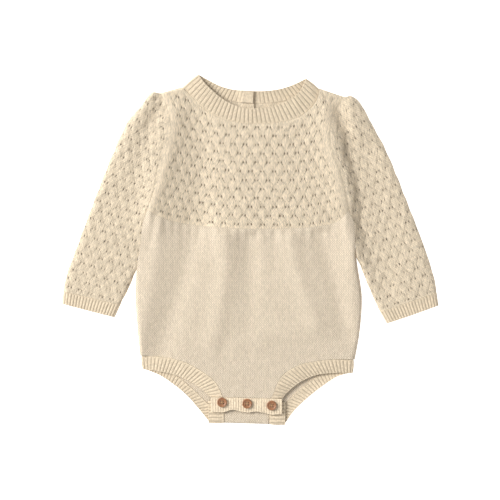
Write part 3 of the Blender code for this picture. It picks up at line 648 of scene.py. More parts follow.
def ribKnit(name, period, tone=1.0, depth=1.0):
    board, x, y, place = knitBoard(name, rib["waver"])
    row = y / rib["row"]
    rung = (1 - abs(row.maths("FRACT") * 2 - 1)).clamped() ** rib["rungRound"]
    shade = board.chance((x / rib["leg"]).maths("FLOOR"), row.maths("FLOOR"))
    aside = (x * (math.pi / period)).maths("SINE") * (period / math.pi / rib["grooveWidth"])
    groove = ((aside * aside) * -1).maths("EXPONENT") * board.mark("ribbed")
    # painted shade in the grooves, scaled by depth
    paintedShade = groove * (shade * rib["grooveVary"] + rib["groove"]) * depth
    return yarnFinish(board, place, rung, shade, shade, paintedShade,
                      rung * rib["rung"] - groove * rib["grooveBump"], yarn["rib"], tone)


def hashed(a, b):
    # an even spread of numbers from 0 to 1, the same each time
    return (np.sin(a * 12.9898 + b * 78.233) * 43758.5453) % 1.0


def bubbleRelief(s, t, pitch, rowPitch):
    # heights of the bubbles (0 to 1), of the eyelets between them and of the stitch between two eyelets
    column, row = s / pitch, (t - bubble["lift"]) / rowPitch
    wave = np.cos(2 * math.pi * column) * np.cos(math.pi * row)
    size = 1 - bubble["uneven"] * hashed(np.round(row), np.round(column - 0.5 * (np.round(row) % 2)))
    swell = np.clip(0.5 - 0.5 * wave, 0, 1) ** bubble["fullness"] * size
    row = np.floor(t / rowPitch + 0.5)
    pair = (s - (row % 2) * pitch / 2 + pitch / 2) % pitch - pitch / 2
    dt = t - row * rowPitch
    wide, long = bubble["eyeSize"]
    eye = np.exp(-((np.abs(pair) - bubble["eyeReach"]) / wide) ** 2 - (dt / long) ** 2)
    stitch = np.exp(-(pair / bubble["stitchWidth"]) ** 2 - (dt / bubble["stitchLength"]) ** 2)
    return swell, eye, stitch


def bubbled(points, normal, s, t, mask, pitch, rowPitch):
    # the outer face with its bubbles
    swell, eye, stitch = bubbleRelief(s, t, pitch, rowPitch)
    height = bubble["height"] * (swell - bubble["sink"]) + bubble["stitchHeight"] * stitch
    height = (height - bubble["eyeDepth"] * eye) * mask
    return points + normal * height[..., None], swell


plainCloth = plainKnit("plainKnit")
yokeCloth = bubbleKnit("bubbleKnitBody", bubble["pitch"], bubble["rowPitch"], bubble["eyeDark"])


def dressed(item, material, node=None):
    # a visible piece's material, its body and the node it replaces
    item.data.materials.append(material)
    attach(item, "root")
    if node:
        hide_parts(node)
    return item


def planOf(spread, u, v):
    plan = spread(u, v)
    return plan[..., 0], plan[..., 1]


# The front layer: bent down to the back at the sides and the shoulders.

def frontPoints(spread, u, v):
    x, y = planOf(spread, u, v)
    height = raised(garment["frontHeight"] + reliefOf(x, y), garment["frontLowest"])
    side = sideTop(x, y, height, garment["sideHeight"])
    return np.stack([x, y, side + (height - side) * bentDown(x, y, garment["sideRoll"])], -1)


yokeTop = {
    "width": 214.0, "height": 138.0, "step": 0.95,
    "furrows": {"yoke": 0.25, "armholeLeft": 0.2, "armholeRight": 0.2, "neckFront": 0.2},
    "neckEnd": (0.87, 0.06, 0.16, 6.0),    # lines beside the neck's steep end: share, reach, depth, distance
    "neckHeld": 0.08,                      # the share beside its right edge where they stay
    "rowStart": 27.5,                      # lowest row of eyelets, at the middle
    "pairStart": 0.2,
    "middle": 12.0,                        # where the rows are level
    "riseLeft": (1.18e-4, 2.5), "riseRight": (1.9e-5, 3.0),
    "crowdFrom": 45.0, "crowd": 0.005,     # bubbles stand closer towards the armholes
    "drift": {"from": (0.0, 80.0), "reach": (60.0, 50.0),
              "across": (0.0, 1.4, -0.8, 2.8, 0.0, 0.0, -2.4, 0.0),
              "up": (0.0, 0.7, -0.4, 0.1, -0.1, 0.0, 0.0, -0.9)},
    # distances from each edge at which the plain knit ends and the bubbles are whole
    "plainArmhole": (5.0, 11.0), "plainNeck": (1.5, 4.0), "plainShoulder": (3.0, 7.0),
    "plainLow": (-3.2, -1.2),
    "flat": (0.240, 0.156), "area": 0.0258,
}


def drift(table, x, y):
    # slow wandering of the rows and columns, as amounts of 1, a, b, ab, aa, bb, abb and aab over a panel
    a, b = [(at - start) / reach for at, start, reach in zip((x, y), table["from"], table["reach"])]
    terms = np.stack([a * 0 + 1, a, b, a * b, a * a, b * b, a * b * b, a * a * b])
    return [np.tensordot(np.array(table[way]), terms, 1) for way in ("across", "up")]


def yokeCoordinates(x, y):
    # the cloth's own coordinates: across, and up from the lowest row of eyelets
    away = x - yokeTop["middle"]
    rises = [share * np.abs(away) ** power for share, power in (yokeTop["riseLeft"], yokeTop["riseRight"])]
    rise = np.where(away < 0, *rises)
    far = np.clip(np.abs(x) - yokeTop["crowdFrom"], 0, None)
    s = x - yokeTop["pairStart"] + np.sign(x) * yokeTop["crowd"] * far ** 2
    across, up = drift(yokeTop["drift"], x, y)
    return s + across, y - yokeTop["rowStart"] - rise + up


def yokeMask(x, y, t, neck):
    # 1 where there are bubbles, 0 on the plain knit along the edges
    mask = between(t, yokeTop["plainLow"]) * between(nearest(seamLines[neck], x, y)[0], yokeTop["plainNeck"])
    for side in ("Left", "Right"):
        mask *= between(nearest(seamLines[f"armhole{side}"], x, y)[0], yokeTop["plainArmhole"])
        mask *= between(nearest(folds[f"shoulder{side}"], x, y)[0], yokeTop["plainShoulder"])
    return mask


def frontSpread(u, v):
    # its lines leave the neck's steep right end sideways, so that none of them cross
    plan = yokePatch("neckFront")(u, v)
    share, reach, below, distance = yokeTop["neckEnd"]
    away = (1 - v) / below
    held = ease((1 - u) / yokeTop["neckHeld"])
    plan[..., 0] += distance * np.exp(-((u - share) / reach) ** 2) * away * np.exp(1 - away) * held
    return plan


def makeFrontYoke():
    columns = spaced(yokeTop["width"], yokeTop["step"], fine=(0.0, 0.5, 1.1, 1.9))
    rows = spaced(yokeTop["height"], yokeTop["step"], fine=(0.0, 0.25, 0.6, 1.1, 1.8, 2.7))
    points = frontPoints(frontSpread, *np.meshgrid(columns, rows))
    x, y = points[..., 0], points[..., 1]
    for name, depth in yokeTop["furrows"].items():
        points[..., 2] += furrow(name, x, y, depth)
    normal = facing(points)
    s, t = yokeCoordinates(x, y)
    mask = yokeMask(x, y, t, "neckFront")
    outer, swell = bubbled(points, normal, s, t, mask, bubble["pitch"], bubble["rowPitch"])
    item = clothShell("frontYoke", outer, points - normal * garment["wall"], np.stack([s, t], -1),
                      {"bubbles": mask, "swell": swell})
    dressed(item, yokeCloth, "front_yoke")


backYoke = {
    "step": 1.25,
    "rest": 1.0,                # the back lies on its bubbles
    "overlap": (-8.0, 4.0),     # the left half lies on the right half between these
    "stepUp": (-13.5, -8.6), "stepHeight": 1.6,
    "middle": -2.0, "plainMiddle": (4.0, 10.0),   # plain knit along the opening
    "flatLeft": (0.117, 0.148), "areaLeft": 0.0147,
    "flatRight": (0.117, 0.148), "areaRight": 0.0150,
}


def backPoints(spread, u, v, rest):
    x, y = planOf(spread, u, v)
    side = sideTop(x, y, garment["frontHeight"] + reliefOf(x, y), garment["sideHeight"])
    return np.stack([x, y, rest + (side - rest) * (1 - bentDown(x, y, garment["backRoll"]))], -1)


def shareAt(x):
    # the share across a yoke at which it reaches x
    start, end = corners["underarmLeft"][0], corners["underarmRight"][0]
    return (x - start) / (end - start)


def makeBackYokes():
    spread = yokePatch("neckBack")
    rows = spaced(yokeTop["height"], backYoke["step"], fine=(0.0, 0.4, 1.0, 1.8, 2.8))
    start, end = (shareAt(x) for x in backYoke["overlap"])
    for side, first, last in (("Left", 0.0, end), ("Right", start, 1.0)):
        share = last - first
        columns = first + share * spaced(share * yokeTop["width"], backYoke["step"], fine=(0.0, 0.6, 1.4))
        u, v = np.meshgrid(columns, rows)
        points = backPoints(spread, u, v, backYoke["rest"])
        x, y = points[..., 0], points[..., 1]
        if side == "Left":
            points[..., 2] += backYoke["stepHeight"] * between(u, [shareAt(x) for x in backYoke["stepUp"]])
        normal = -facing(points)
        s, t = yokeCoordinates(x, y)
        fromMiddle = np.abs(x - shift[0] - backYoke["middle"])
        mask = yokeMask(x, y, t, "neckBack") * between(fromMiddle, backYoke["plainMiddle"])
        outer, swell = bubbled(points, normal, s, t, mask, bubble["pitch"], bubble["rowPitch"])
        item = clothShell(f"backYoke{side}", outer, points - normal * garment["wall"], np.stack([s, t], -1),
                          {"bubbles": mask, "swell": swell})
        rests = ["floor"] if side == "Right" else ["floor", "backYokeRight"]
        dressed(item, yokeCloth, f"back_yoke_{side.lower()}")


# The gathers are waves across the skirt: height, radians for each millimetre, start and sway.
frontSkirt = {
    "width": 236.0, "height": 165.0, "step": 1.45, "furrow": 0.3,
    "gather": 0.62, "gatherReach": 11.0, "gatherStart": 2.5,
    "gathers": [(1.0, 0.61, 0.0, 1.1), (0.6, 0.37, 2.0, 0.0)], "gatherSway": 0.083,
    "flat": (0.281, 0.200), "area": 0.0420,
}


def gathers(x, y):
    # small gathers that hang from the yoke
    below = nearest(seamLines["yoke"], x, y)[0]
    swaying = np.sin(x * frontSkirt["gatherSway"])
    wave = sum(high * np.sin(x * turn + start + sway * swaying)
               for high, turn, start, sway in frontSkirt["gathers"])
    fade = np.exp(-below / frontSkirt["gatherReach"]) * ease(below / frontSkirt["gatherStart"])
    return frontSkirt["gather"] * wave * fade


def makeFrontSkirt():
    spread = bodyPatch("Front", smoothLine(["placketLeft", "placketRight"]))
    columns = spaced(frontSkirt["width"], frontSkirt["step"])
    rows = spaced(frontSkirt["height"], frontSkirt["step"], fine=(0.0, 0.5, 1.2))
    points = frontPoints(spread, *np.meshgrid(columns, rows))
    x, y = points[..., 0], points[..., 1]
    points[..., 2] += furrow("yoke", x, y, frontSkirt["furrow"]) + gathers(x, y)
    inner = points - facing(points) * garment["wall"]
    item = clothShell("frontSkirt", points, inner, np.stack([x, y], -1), {})
    dressed(item, plainCloth, "front_body")


backSkirt = {
    "sideWidth": 92.0, "height": 175.0, "step": 1.9, "crotchColumns": 29,
    "rest": 0.3,
    "flapLength": 23.0,
    "flapHeight": 3.6,      # middle of the flap's wall
    "foldRows": 8, "flapRows": 13,
    "foldCloth": 8.0,       # the cloth that the fold takes up
    "flat": (0.262, 0.240), "area": 0.0462,
}


def makeBackSkirt():
    # its rows run from -2 to -1 on the flap, to 0 round the fold, and to 1 up the body
    spread = bodyPatch("Back", smoothLine(["crotchLeft", "crotchRight"]))
    start, end = crotchShares
    side = spaced(backSkirt["sideWidth"], backSkirt["step"], fineEnd=False)
    columns = np.concatenate([start * side[:-1], np.linspace(start, end, backSkirt["crotchColumns"]),
                              1 - (1 - end) * side[-2::-1]])
    below = np.concatenate([np.linspace(-2, -1, backSkirt["flapRows"])[:-1],
                            np.linspace(-1, 0, backSkirt["foldRows"] + 1)[:-1]])
    rows = np.concatenate([below, spaced(backSkirt["height"], backSkirt["step"], fine=(0.0, 0.6, 1.4))])
    u, v = np.meshgrid(columns, rows)
    body = len(below)
    wall, rest = garment["wall"], backSkirt["rest"]
    points = backPoints(spread, u, np.maximum(v, 0), rest)
    # the crotch folds over and the flap comes up on it
    middle = (rest + wall / 2 + backSkirt["flapHeight"]) / 2
    radius = (backSkirt["flapHeight"] + wall / 2) - middle
    angle = math.pi * np.clip(v + 1, 0, 1)
    rise = np.clip(-1 - v, 0, None) * backSkirt["flapLength"]
    points[..., 1] = np.where(v < 0, points[..., 1] + rise - radius * np.sin(angle), points[..., 1])
    points[..., 2] = np.where(v < 0, middle + radius * np.cos(angle), points[..., 2])
    normal = -facing(points)
    normal[body:] = -facing(points[body:])
    normal[:body] = outwards(normal[:body], 0, len(columns) // 2)
    centre = (columns[:-1] + columns[1:]) / 2
    keep = np.ones((len(rows) - 1, len(columns) - 1), bool)
    keep[:body] = (centre > start) & (centre < end)
    up = np.where(v < 0, points[..., 1] - rise * 2 - backSkirt["foldCloth"], points[..., 1])
    flat = np.stack([points[..., 0], up], -1)
    item = clothShell("backSkirt", points, points - normal * wall, flat, {}, keep=keep)
    dressed(item, plainCloth, "back_body")


makeFrontYoke()
makeBackYokes()
makeFrontSkirt()
makeBackSkirt()
print("body panels made")

# Sleeves: flattened tubes. Across, they run from the underarm edge to the outer edge, and along, from the
# armhole to the cuff.
sleeve = {
    "width": 92.0, "length": 222.0, "step": 1.05, "underStep": 1.5,
    "height": 8.0, "cuffHeight": 7.0, "lowest": 4.4,
    "capPuff": 1.6, "puffPlace": (0.12, 0.14), "puffStart": 0.06, "puffAside": 16.0,
    "edgeHeight": 3.0, "topRoll": 7.0, "underRoll": 4.5, "rollStart": 0.08, "rest": 1.7,
    "againstBody": (0.03, 9), "bodyGap": 1.5,   # from this share of the body's side on, with this many points
    "furrow": 0.2,
    # eyeDark is how dark the painted shade in a sleeve's eyelets is
    "pitch": 11.4, "rowPitch": 10.1, "lean": 0.03, "eyeDark": 0.36, "tone": 0.97,
    "plainArmhole": (1.5, 5.0), "plainCuff": 4.0,
    "widthPoints": 40,
}
sleeves = {
    "left": {
        "parting": 0.405, "underEdge": [(-133.0, -41.5), (-139.2, -54.0)],
        "outerEdge": [(-107.6, 172.2), (-119.9, 157.9), (-134.2, 140.3), (-150.7, 105.1), (-171.6, 52.3),
                      (-191.4, -0.6), (-202.0, -30.0)],
        "cuffSeam": [(-142.4, -60.8), (-174.0, -53.2), (-204.8, -46.0)],
        "cuffEnd": [(-148.6, -74.4), (-176.5, -67.4), (-206.0, -59.6)],
        "up": 71.0, "middle": (-155.0, -6.5), "turn": (-0.035, 0.00188, 1.65e-5),
        "drift": {"from": (-145.0, 45.0), "reach": (40.0, 80.0),
                  "across": (3.1, 0.3, 0.3, 0.2, 0.5, -3.5, 0.0, 0.0),
                  "up": (3.5, 0.4, -1.2, -0.5, 0.0, -1.6, 0.0, 0.0)},
        "flat": (0.206, 0.240), "area": 0.0285,
    },
    "right": {
        "parting": 0.305, "underEdge": [(122.8, -21.5), (130.6, -41.5)],
        "outerEdge": [(112.0, 168.4), (122.5, 158.6), (132.2, 140.8), (150.8, 105.4), (172.4, 52.3),
                      (192.6, -0.6), (202.6, -33.0)],
        "cuffSeam": [(142.8, -68.4), (173.2, -58.2), (204.8, -47.6)],
        "cuffEnd": [(150.2, -81.2), (178.2, -71.8), (206.8, -61.4)],
        "up": 109.0, "middle": (-154.0, -7.0), "turn": (0.017, 0.00145, 1.1e-5),
        "drift": {"from": (148.0, 45.0), "reach": (40.0, 80.0),
                  "across": (-4.5, -0.7, 1.9, -1.3, 0.7, -4.0, 0.0, 0.0),
                  "up": (-2.6, 0.3, -2.5, -0.4, -1.0, -1.9, 0.0, 0.0)},
        "flat": (0.208, 0.240), "area": 0.0300,
    },
}
cuff = {
    "length": 14.5, "step": 0.42, "drop": 0.3, "seamPoints": 64,
    "rows": [0, 0.05, 0.11, 0.2, 0.32, 0.44, 0.56, 0.68, 0.8, 0.9, 0.96, 1.0],
    "period": 3.35, "relief": 0.55, "innerRelief": 0.6, "topRoll": 7.0, "underRoll": 4.0,
    "rest": 1.3, "flat": (0.138, 0.0145), "area": 0.0020,
}


def sleeveCoordinates(side, x, y):
    table = sleeves[side]
    angle = math.radians(table["up"])
    turn = 1 if side == "left" else -1
    up = x * math.cos(angle) + y * math.sin(angle)
    across = turn * (x * math.sin(angle) - y * math.cos(angle))
    height = up - table["middle"][1]
    lean = table["turn"][0] + table["turn"][1] * height + table["turn"][2] * height ** 2
    more, higher = drift(table["drift"], x, y)
    return across - sleeve["lean"] * up + more, up + lean * (across - table["middle"][0]) + higher


def tubePoints(spread, ring, rows, widths, look, topAt):
    # ring: shares across the top face from the underarm edge, then back along the underside (negative)
    share, reach = np.meshgrid(ring, rows)
    across, below = np.abs(share), share < 0
    x, y = planOf(spread, across, reach)
    fromEdge = np.minimum(across, 1 - across) * widths(reach)
    roll = garment["sideRoll"] + (look["topRoll"] - garment["sideRoll"]) * ease(reach / sleeve["rollStart"])
    roll = np.where(below, look["underRoll"], roll)
    level = np.sqrt(1 - np.clip(1 - fromEdge / roll, 0, 1) ** 2)
    height = topAt(x, y, reach)
    low = sleeve["edgeHeight"]
    edge = low + (sideTop(x, y, height, low) - low) * (1 - across) ** 2
    top = edge + (height - edge) * level
    under = edge - (edge - look["rest"]) * level
    points = np.stack([x, y, np.where(below, under, top)], -1)
    return points, outwards(facing(points, True), len(rows) // 2, len(ring) // 4), reach


def ringShares(width, step, underStep, fine):
    top = spaced(width, step, fine=fine)
    under = spaced(width, underStep, fine=fine)[1:-1]
    return np.concatenate([top, -under[::-1], top[:1]])


def makeSleeve(side):
    table = sleeves[side]
    name = side.capitalize()
    gap = garment["seamGap"] * (1 if side == "left" else -1)
    armhole = beside(seam[f"armhole{name}"], gap)
    lower, upper = sampled(armhole, 2) - shift
    # its lower edge follows the body's side before the two part
    start, count = sleeve["againstBody"]
    touching = np.linspace(start, table["parting"], count)
    touching = beside(seam[f"side{name}"], -gap * sleeve["bodyGap"])(touching) - shift
    underEdge = smoothLine([lower, *touching, *table["underEdge"], table["cuffSeam"][0]])
    outerEdge = smoothLine([upper, *table["outerEdge"], table["cuffSeam"][-1]])
    spread = patch(underEdge, outerEdge, armhole, smoothLine(table["cuffSeam"]))
    ring = ringShares(sleeve["width"], sleeve["step"], sleeve["underStep"],
                      (0.0, 0.2, 0.6, 1.2, 2.1, 3.2, 4.6))
    rows = spaced(sleeve["length"], sleeve["step"], fine=(0.0, 0.5, 1.1))
    reachTo = np.linspace(0, 1, sleeve["widthPoints"])
    widthAt = np.linalg.norm(outerEdge(reachTo) - underEdge(reachTo), axis=1)

    def top(x, y, reach):
        place, far = sleeve["puffPlace"]
        puff = sleeve["capPuff"] * np.exp(-((reach - place) / far) ** 2) * ease(reach / sleeve["puffStart"])
        puff = puff * ease(nearest(folds[f"side{name}"], x, y)[0] / sleeve["puffAside"])
        height = sleeve["height"] + (sleeve["cuffHeight"] - sleeve["height"]) * reach + puff
        height = raised(height + reliefOf(x, y), sleeve["lowest"])
        return height + furrow(f"armhole{name}", x, y, sleeve["furrow"])

    def widths(reach):
        return np.interp(reach, reachTo, widthAt)

    points, normal, reach = tubePoints(spread, ring, rows, widths, sleeve, top)
    x, y = points[..., 0], points[..., 1]
    s, t = sleeveCoordinates(side, x, y)
    mask = between(nearest(seamLines[f"armhole{name}"], x, y)[0], sleeve["plainArmhole"])
    mask *= ease((1 - reach) * sleeve["length"] / sleeve["plainCuff"])
    outer, swell = bubbled(points, normal, s, t, mask, sleeve["pitch"], sleeve["rowPitch"])
    item = clothShell(f"sleeve{name}", outer, points - normal * garment["wall"], np.stack([s, t], -1),
                      {"bubbles": mask, "swell": swell}, closed=True)
    dressed(item, sleeveCloth, f"sleeve_{side}")


def makeCuff(side):
    table = sleeves[side]
    gap = garment["seamGap"] * (1 if side == "left" else -1)
    start, end = beside(smoothLine(table["cuffSeam"]), gap), smoothLine(table["cuffEnd"])
    lower, upper = sampled(start, 2) - shift
    underEdge = smoothLine([lower, table["cuffEnd"][0]])
    outerEdge = smoothLine([upper, table["cuffEnd"][-1]])
    width = runAlong(sampled(start, cuff["seamPoints"]))[-1]
    ring = ringShares(width, cuff["step"], cuff["step"], (0.0, 0.15, 0.4, 0.75))
    rows = np.array(cuff["rows"])

    def top(x, y, reach):
        return np.full(x.shape, sleeve["cuffHeight"] - cuff["drop"])

    points, normal, reach = tubePoints(patch(underEdge, outerEdge, start, end), ring, rows,
                                       lambda reach: np.full(reach.shape, width), cuff, top)
    # length round the tube at its middle, in whole ribs
    run = runAlong(points[len(rows) // 2])
    phase = np.broadcast_to(run / run[-1] * round(run[-1] / cuff["period"]), reach.shape)
    ribbed, relief = ribRelief(phase, reach, cuff["relief"])
    flat = np.stack([phase * cuff["period"], reach * cuff["length"]], -1)
    inner = points - normal * (garment["ribWall"] - relief * cuff["innerRelief"])[..., None]
    item = clothShell(f"cuff{side.capitalize()}", points + normal * relief[..., None], inner, flat,
                      {"ribbed": ribbed}, closed=True)
    dressed(item, cuffCloth, f"cuff_{side}")


def ribRelief(phase, across, height, plain=None, runOut=rib["fade"]):
    # how ribbed the cloth is (0 to 1) and its height; grooves run out at the seam and at the bound edge
    groove = np.round(phase)
    near, more = runOut
    fade = ease(across / (near + more * hashed(groove, 1.0))) * ease((1 - across) / rib["fadeEdge"])
    if plain is not None:
        fade = fade * (1 - plain)
    ridge = np.abs(np.sin(math.pi * phase)) ** rib["ridge"]
    rim = sum(rise * np.exp(-((across - place) / reach) ** 2) for place, reach, rise in rib["rims"])
    relief = height * ((ridge - 0.5) * fade + rim)
    return fade * (1 - rib["vary"] + rib["vary"] * hashed(groove, 2.0)), relief


sleeveCloth = bubbleKnit("bubbleKnitSleeve", sleeve["pitch"], sleeve["rowPitch"], sleeve["eyeDark"],
                         sleeve["tone"])
cuffCloth = ribKnit("ribKnitCuff", cuff["period"])
for side in ("left", "right"):
    makeSleeve(side)
    makeCuff(side)
print("sleeves made")

# Bands: strips between a seam line and an edge line in space, with ribs across them.
band = {
    "step": 0.5, "drawIn": 3.6, "foldPoints": 15, "innerRelief": 0.7,
    "rows": [0, 0.03, 0.07, 0.12, 0.2, 0.3, 0.4, 0.5, 0.6, 0.7, 0.8, 0.88, 0.93, 0.97, 1.0],
}


def stripOf(seamCurve, edgeCurve, count, heights):
    # a strip is two lines in space, one along the seam and one along the edge
    return [np.concatenate([sampled(curve, count), np.full((count, 1), height)], 1)
            for curve, height in zip((seamCurve, edgeCurve), heights)]


def middleRun(strip):
    return runAlong((strip[0] + strip[1]) / 2)


def resampled(strip, at, to):
    return [np.stack([np.interp(to, at, line[:, k]) for k in range(3)], 1) for line in strip]


def drawnIn(strip, *ends):
    # shortened at the named ends, so that a fold's bulge ends where the strip did
    for end in ends:
        share = np.linspace(0, 1, len(strip[0]))
        keep = 1 - band["drawIn"] / middleRun(strip)[-1]
        strip = resampled(strip, share, share * keep + (1 - keep if end == "start" else 0))
    return strip


def settled(strip, ends, reach, change):
    # the height changes by `change` towards the named ends, over a distance
    run = middleRun(strip)
    for end in ends:
        away = run if end == "start" else run[-1] - run
        for line in strip:
            line[:, 2] += change * (1 - ease(away / reach))
    return strip


def foldBetween(before, after, hint):
    # from the end of one strip round to the start of the next, bulging along the hint
    a, b = [line[-1] for line in before], [line[0] for line in after]
    across = (a[1] - a[0] + b[1] - b[0])[:2]
    outward = np.array([-across[1], across[0]])
    outward /= np.linalg.norm(outward)
    if outward @ np.array(hint) < 0:
        outward = -outward
    radius = abs(a[0][2] - b[0][2]) / 2
    share = np.linspace(0, 1, band["foldPoints"] + 2)[1:-1]
    lines = []
    for start, end in zip(a, b):
        plan = start[None, :2] * (1 - share[:, None]) + end[None, :2] * share[:, None]
        plan = plan + outward * (radius * np.sin(math.pi * share))[:, None]
        z = (start[2] + end[2]) / 2 + (start[2] - end[2]) / 2 * np.cos(math.pi * share)
        lines.append(np.concatenate([plan, z[:, None]], 1))
    return lines


def joined(*strips):
    return [np.concatenate([strip[k] for strip in strips]) for k in (0, 1)]


def turned(strip):
    return [line[::-1] for line in strip]


def arched(v):
    # 0 at both edges of a strip, 1 on its middle
    return 1 - (2 * v - 1) ** 2


def ribShell(name, points, normal, ribbed, relief, innerRelief, flat):
    half = garment["ribWall"] / 2
    outer = points + normal * (half + relief)[..., None]
    inner = points - normal * (half + relief * innerRelief)[..., None]
    return clothShell(name, outer, inner, flat, {"ribbed": ribbed})


def makeBand(name, node, strip, look, plain=None):
    run = middleRun(strip)
    count = round(run[-1] / band["step"])
    at = np.linspace(0, run[-1], count + 1)
    start, end = resampled(strip, run, at)
    rows = np.array(band["rows"])
    v = rows[:, None, None]
    points = start[None] * (1 - v) + end[None] * v
    normal = outwards(facing(points), len(rows) // 2, count // look["upAt"])
    points = points + normal * look["crown"] * arched(v)
    phase, across = np.meshgrid(at / run[-1] * round(run[-1] / look["period"]), rows)
    ribbed, relief = ribRelief(phase, across, look["relief"], plain(at) if plain else None, look["fade"])
    flat = np.stack([phase * look["period"], across * look["width"]], -1)
    item = ribShell(name, points, normal, ribbed, relief, band["innerRelief"], flat)
    knit = ribKnit(f"{name}Knit", look["period"], look["tone"])
    dressed(item, knit, node)


# A fall or a rise is how far an end of a strip is lowered or lifted, and over what length. A band faces up
# at one part in upAt of its length.
neckband = {
    "front": (6.8, 7.8), "frontLines": 121, "frontFalls": [(0.6, 26.0), (1.2, 9.0)],
    "back": (1.7, 1.7), "backLines": 241, "backRise": (0.3, 30.0), "stepUp": 3.3,
    "period": 4.4, "relief": 0.5, "crown": 0.6, "width": 19.0, "upAt": 2,
    "plainStart": (9.0, 10.5), "plainEnd": (-17.0, -15.5),
    "flat": (0.345, 0.0185), "area": 0.0062, "tone": 0.94, "fade": rib["fade"],
}


def makeNeckband():
    front = stripOf(beside(seam["neckFront"], garment["seamGap"]), seam["neckFrontEdge"],
                    neckband["frontLines"], neckband["front"])
    front = drawnIn(front, "start", "end")
    for fall, reach in neckband["frontFalls"]:
        front = settled(front, ("start", "end"), reach, -fall)
    back = stripOf(beside(seam["neckBack"], garment["seamGap"]), seam["neckBackEdge"],
                   neckband["backLines"], neckband["back"])
    x = back[0][:, 0] - shift[0]
    start, end = backYoke["overlap"]
    rise, reach = neckband["backRise"]
    left = settled(drawnIn([line[x <= end] for line in back], "start"), ("start",), reach, rise)
    right = settled(drawnIn([line[x >= start] for line in back], "end"), ("end",), reach, rise)
    for line in left:
        line[:, 2] += neckband["stepUp"] * between(line[:, 0] - shift[0], backYoke["stepUp"])
    left, right = turned(left), turned(right)
    strip = joined(left, foldBetween(left, front, (-1, 1)), front, foldBetween(front, right, (1, 1)), right)

    def plain(at):
        return np.maximum(1 - between(at, neckband["plainStart"]), between(at - at[-1], neckband["plainEnd"]))

    makeBand("neckBand", "neckband", strip, neckband, plain)


legBand = {
    "lines": 101, "front": (6.9, 4.3), "frontFall": (1.2, 22.0), "back": (1.6, 1.9), "backRise": (0.8, 24.0),
    "flap": (3.9, 3.9),
    "period": 3.85, "relief": 0.5, "crown": 0.5, "width": 15.0, "upAt": 8,
    "flat": (0.262, 0.0155), "area": 0.0039, "tone": 1.02, "fade": (0.12, 0.1),
}


def makeLegBand(side):
    name = side.capitalize()
    sign = -1 if side == "left" else 1
    front, back = [
        drawnIn(stripOf(beside(seam[f"leg{layer}{name}"], -sign * garment["seamGap"]),
                        seam[f"leg{layer}{name}Edge"], legBand["lines"], legBand[layer.lower()]), "end")
        for layer in ("Front", "Back")]
    fall, reach = legBand["frontFall"]
    front = settled(front, ("end",), reach, -fall)
    rise, reach = legBand["backRise"]
    back = turned(settled(back, ("end",), reach, rise))
    flap = [np.stack([line[-1], line[-1]]) for line in back]
    for line, height in zip(flap, legBand["flap"]):
        line[:, 2] = height
        line[1, 1] += backSkirt["flapLength"]
    strip = joined(front, foldBetween(front, back, (sign, 0)), back, foldBetween(back, flap, (0, -1)), flap)
    makeBand(f"legBand{name}", f"leg_band_{side}", strip, legBand)


placket = {
    "length": 78.0, "cloth": 78.3, "step": 0.34, "period": 2.8, "relief": 0.18, "innerRelief": 0.5,
    "rows": [0, 0.03, 0.07, 0.13, 0.2, 0.3, 0.4, 0.5, 0.6, 0.7, 0.8, 0.88, 0.94, 1.0],
    "height": 6.9, "crown": 0.4, "width": 15.5, "topRise": 0.3,
    "bulge": 0.7, "bulges": (-18.0, 10.5), "bulgeReach": 5.5,
    # groove is the share of painted shade in its grooves
    "flat": (0.0785, 0.0170), "area": 0.00130, "tone": 1.14, "groove": 0.55,
}


def makePlacket():
    columns = np.linspace(0, 1, round(placket["length"] / placket["step"]) + 1)
    u, v = np.meshgrid(columns, placket["rows"])
    top, bottom = seam["placketTop"](u) + [0, placket["topRise"]], seam["placketEdge"](u)
    plan = bottom * (1 - v[..., None]) + top * v[..., None]
    x = plan[..., 0] - shift[0]
    # held down at the buttons, and swelling between them
    swell = sum(np.exp(-((x - place) / placket["bulgeReach"]) ** 2) for place in placket["bulges"])
    z = placket["height"] + placket["bulge"] * swell * (1 - v) + placket["crown"] * arched(v)
    points = np.concatenate([plan, z[..., None]], -1)
    normal = outwards(facing(points), len(v) // 2, len(columns) // 2)
    phase = u * round(placket["cloth"] / placket["period"])
    ribbed, relief = ribRelief(phase, 1 - v, placket["relief"])
    flat = np.stack([phase * placket["period"], v * placket["width"]], -1)
    item = ribShell("placket", points, normal, ribbed, relief, placket["innerRelief"], flat)
    knit = ribKnit("placketKnit", placket["period"], placket["tone"], placket["groove"])
    dressed(item, knit, "front_placket")


makeNeckband()
makeLegBand("left")
makeLegBand("right")
makePlacket()
print("bands made")

# Buttons of turned wood, sewn on through four holes.
button = {
    "diameter": 10.8, "thickness": 2.8, "steps": 56,
    "holeDiameter": 1.5, "holeSpacing": 2.7, "holeDepth": 12.0, "holeSides": 18,
    # shares of the radius and of the thickness, from the middle of the back round to the middle of the front
    "profile": [(0.0, 0.0), (0.62, 0.0), (0.84, 0.08), (0.96, 0.3), (1.0, 0.58), (0.98, 0.82), (0.93, 0.96),
                (0.86, 1.0), (0.79, 0.96), (0.73, 0.84), (0.66, 0.74), (0.56, 0.7), (0.0, 0.68)],
    "rest": 8.3, "sharpFrom": 42.0,
    "color": (0.42, 0.19, 0.085), "dark": (0.22, 0.09, 0.04), "light": (0.52, 0.26, 0.13),
    "stretch": (1.0, 5.0, 1.0), "lean": (0.0, 0.0, 0.5),    # of the grain
    "grainScale": 420.0, "grainFrom": 0.35, "grainHard": 3.0,
    "streakScale": 1300.0, "streakFrom": 0.45, "streakHard": 2.2,
    "bumpStrength": 0.35, "bump": 0.3, "grainShare": 0.6,
    "roughness": 0.42, "coat": 0.12, "coatRoughness": 0.35,
}
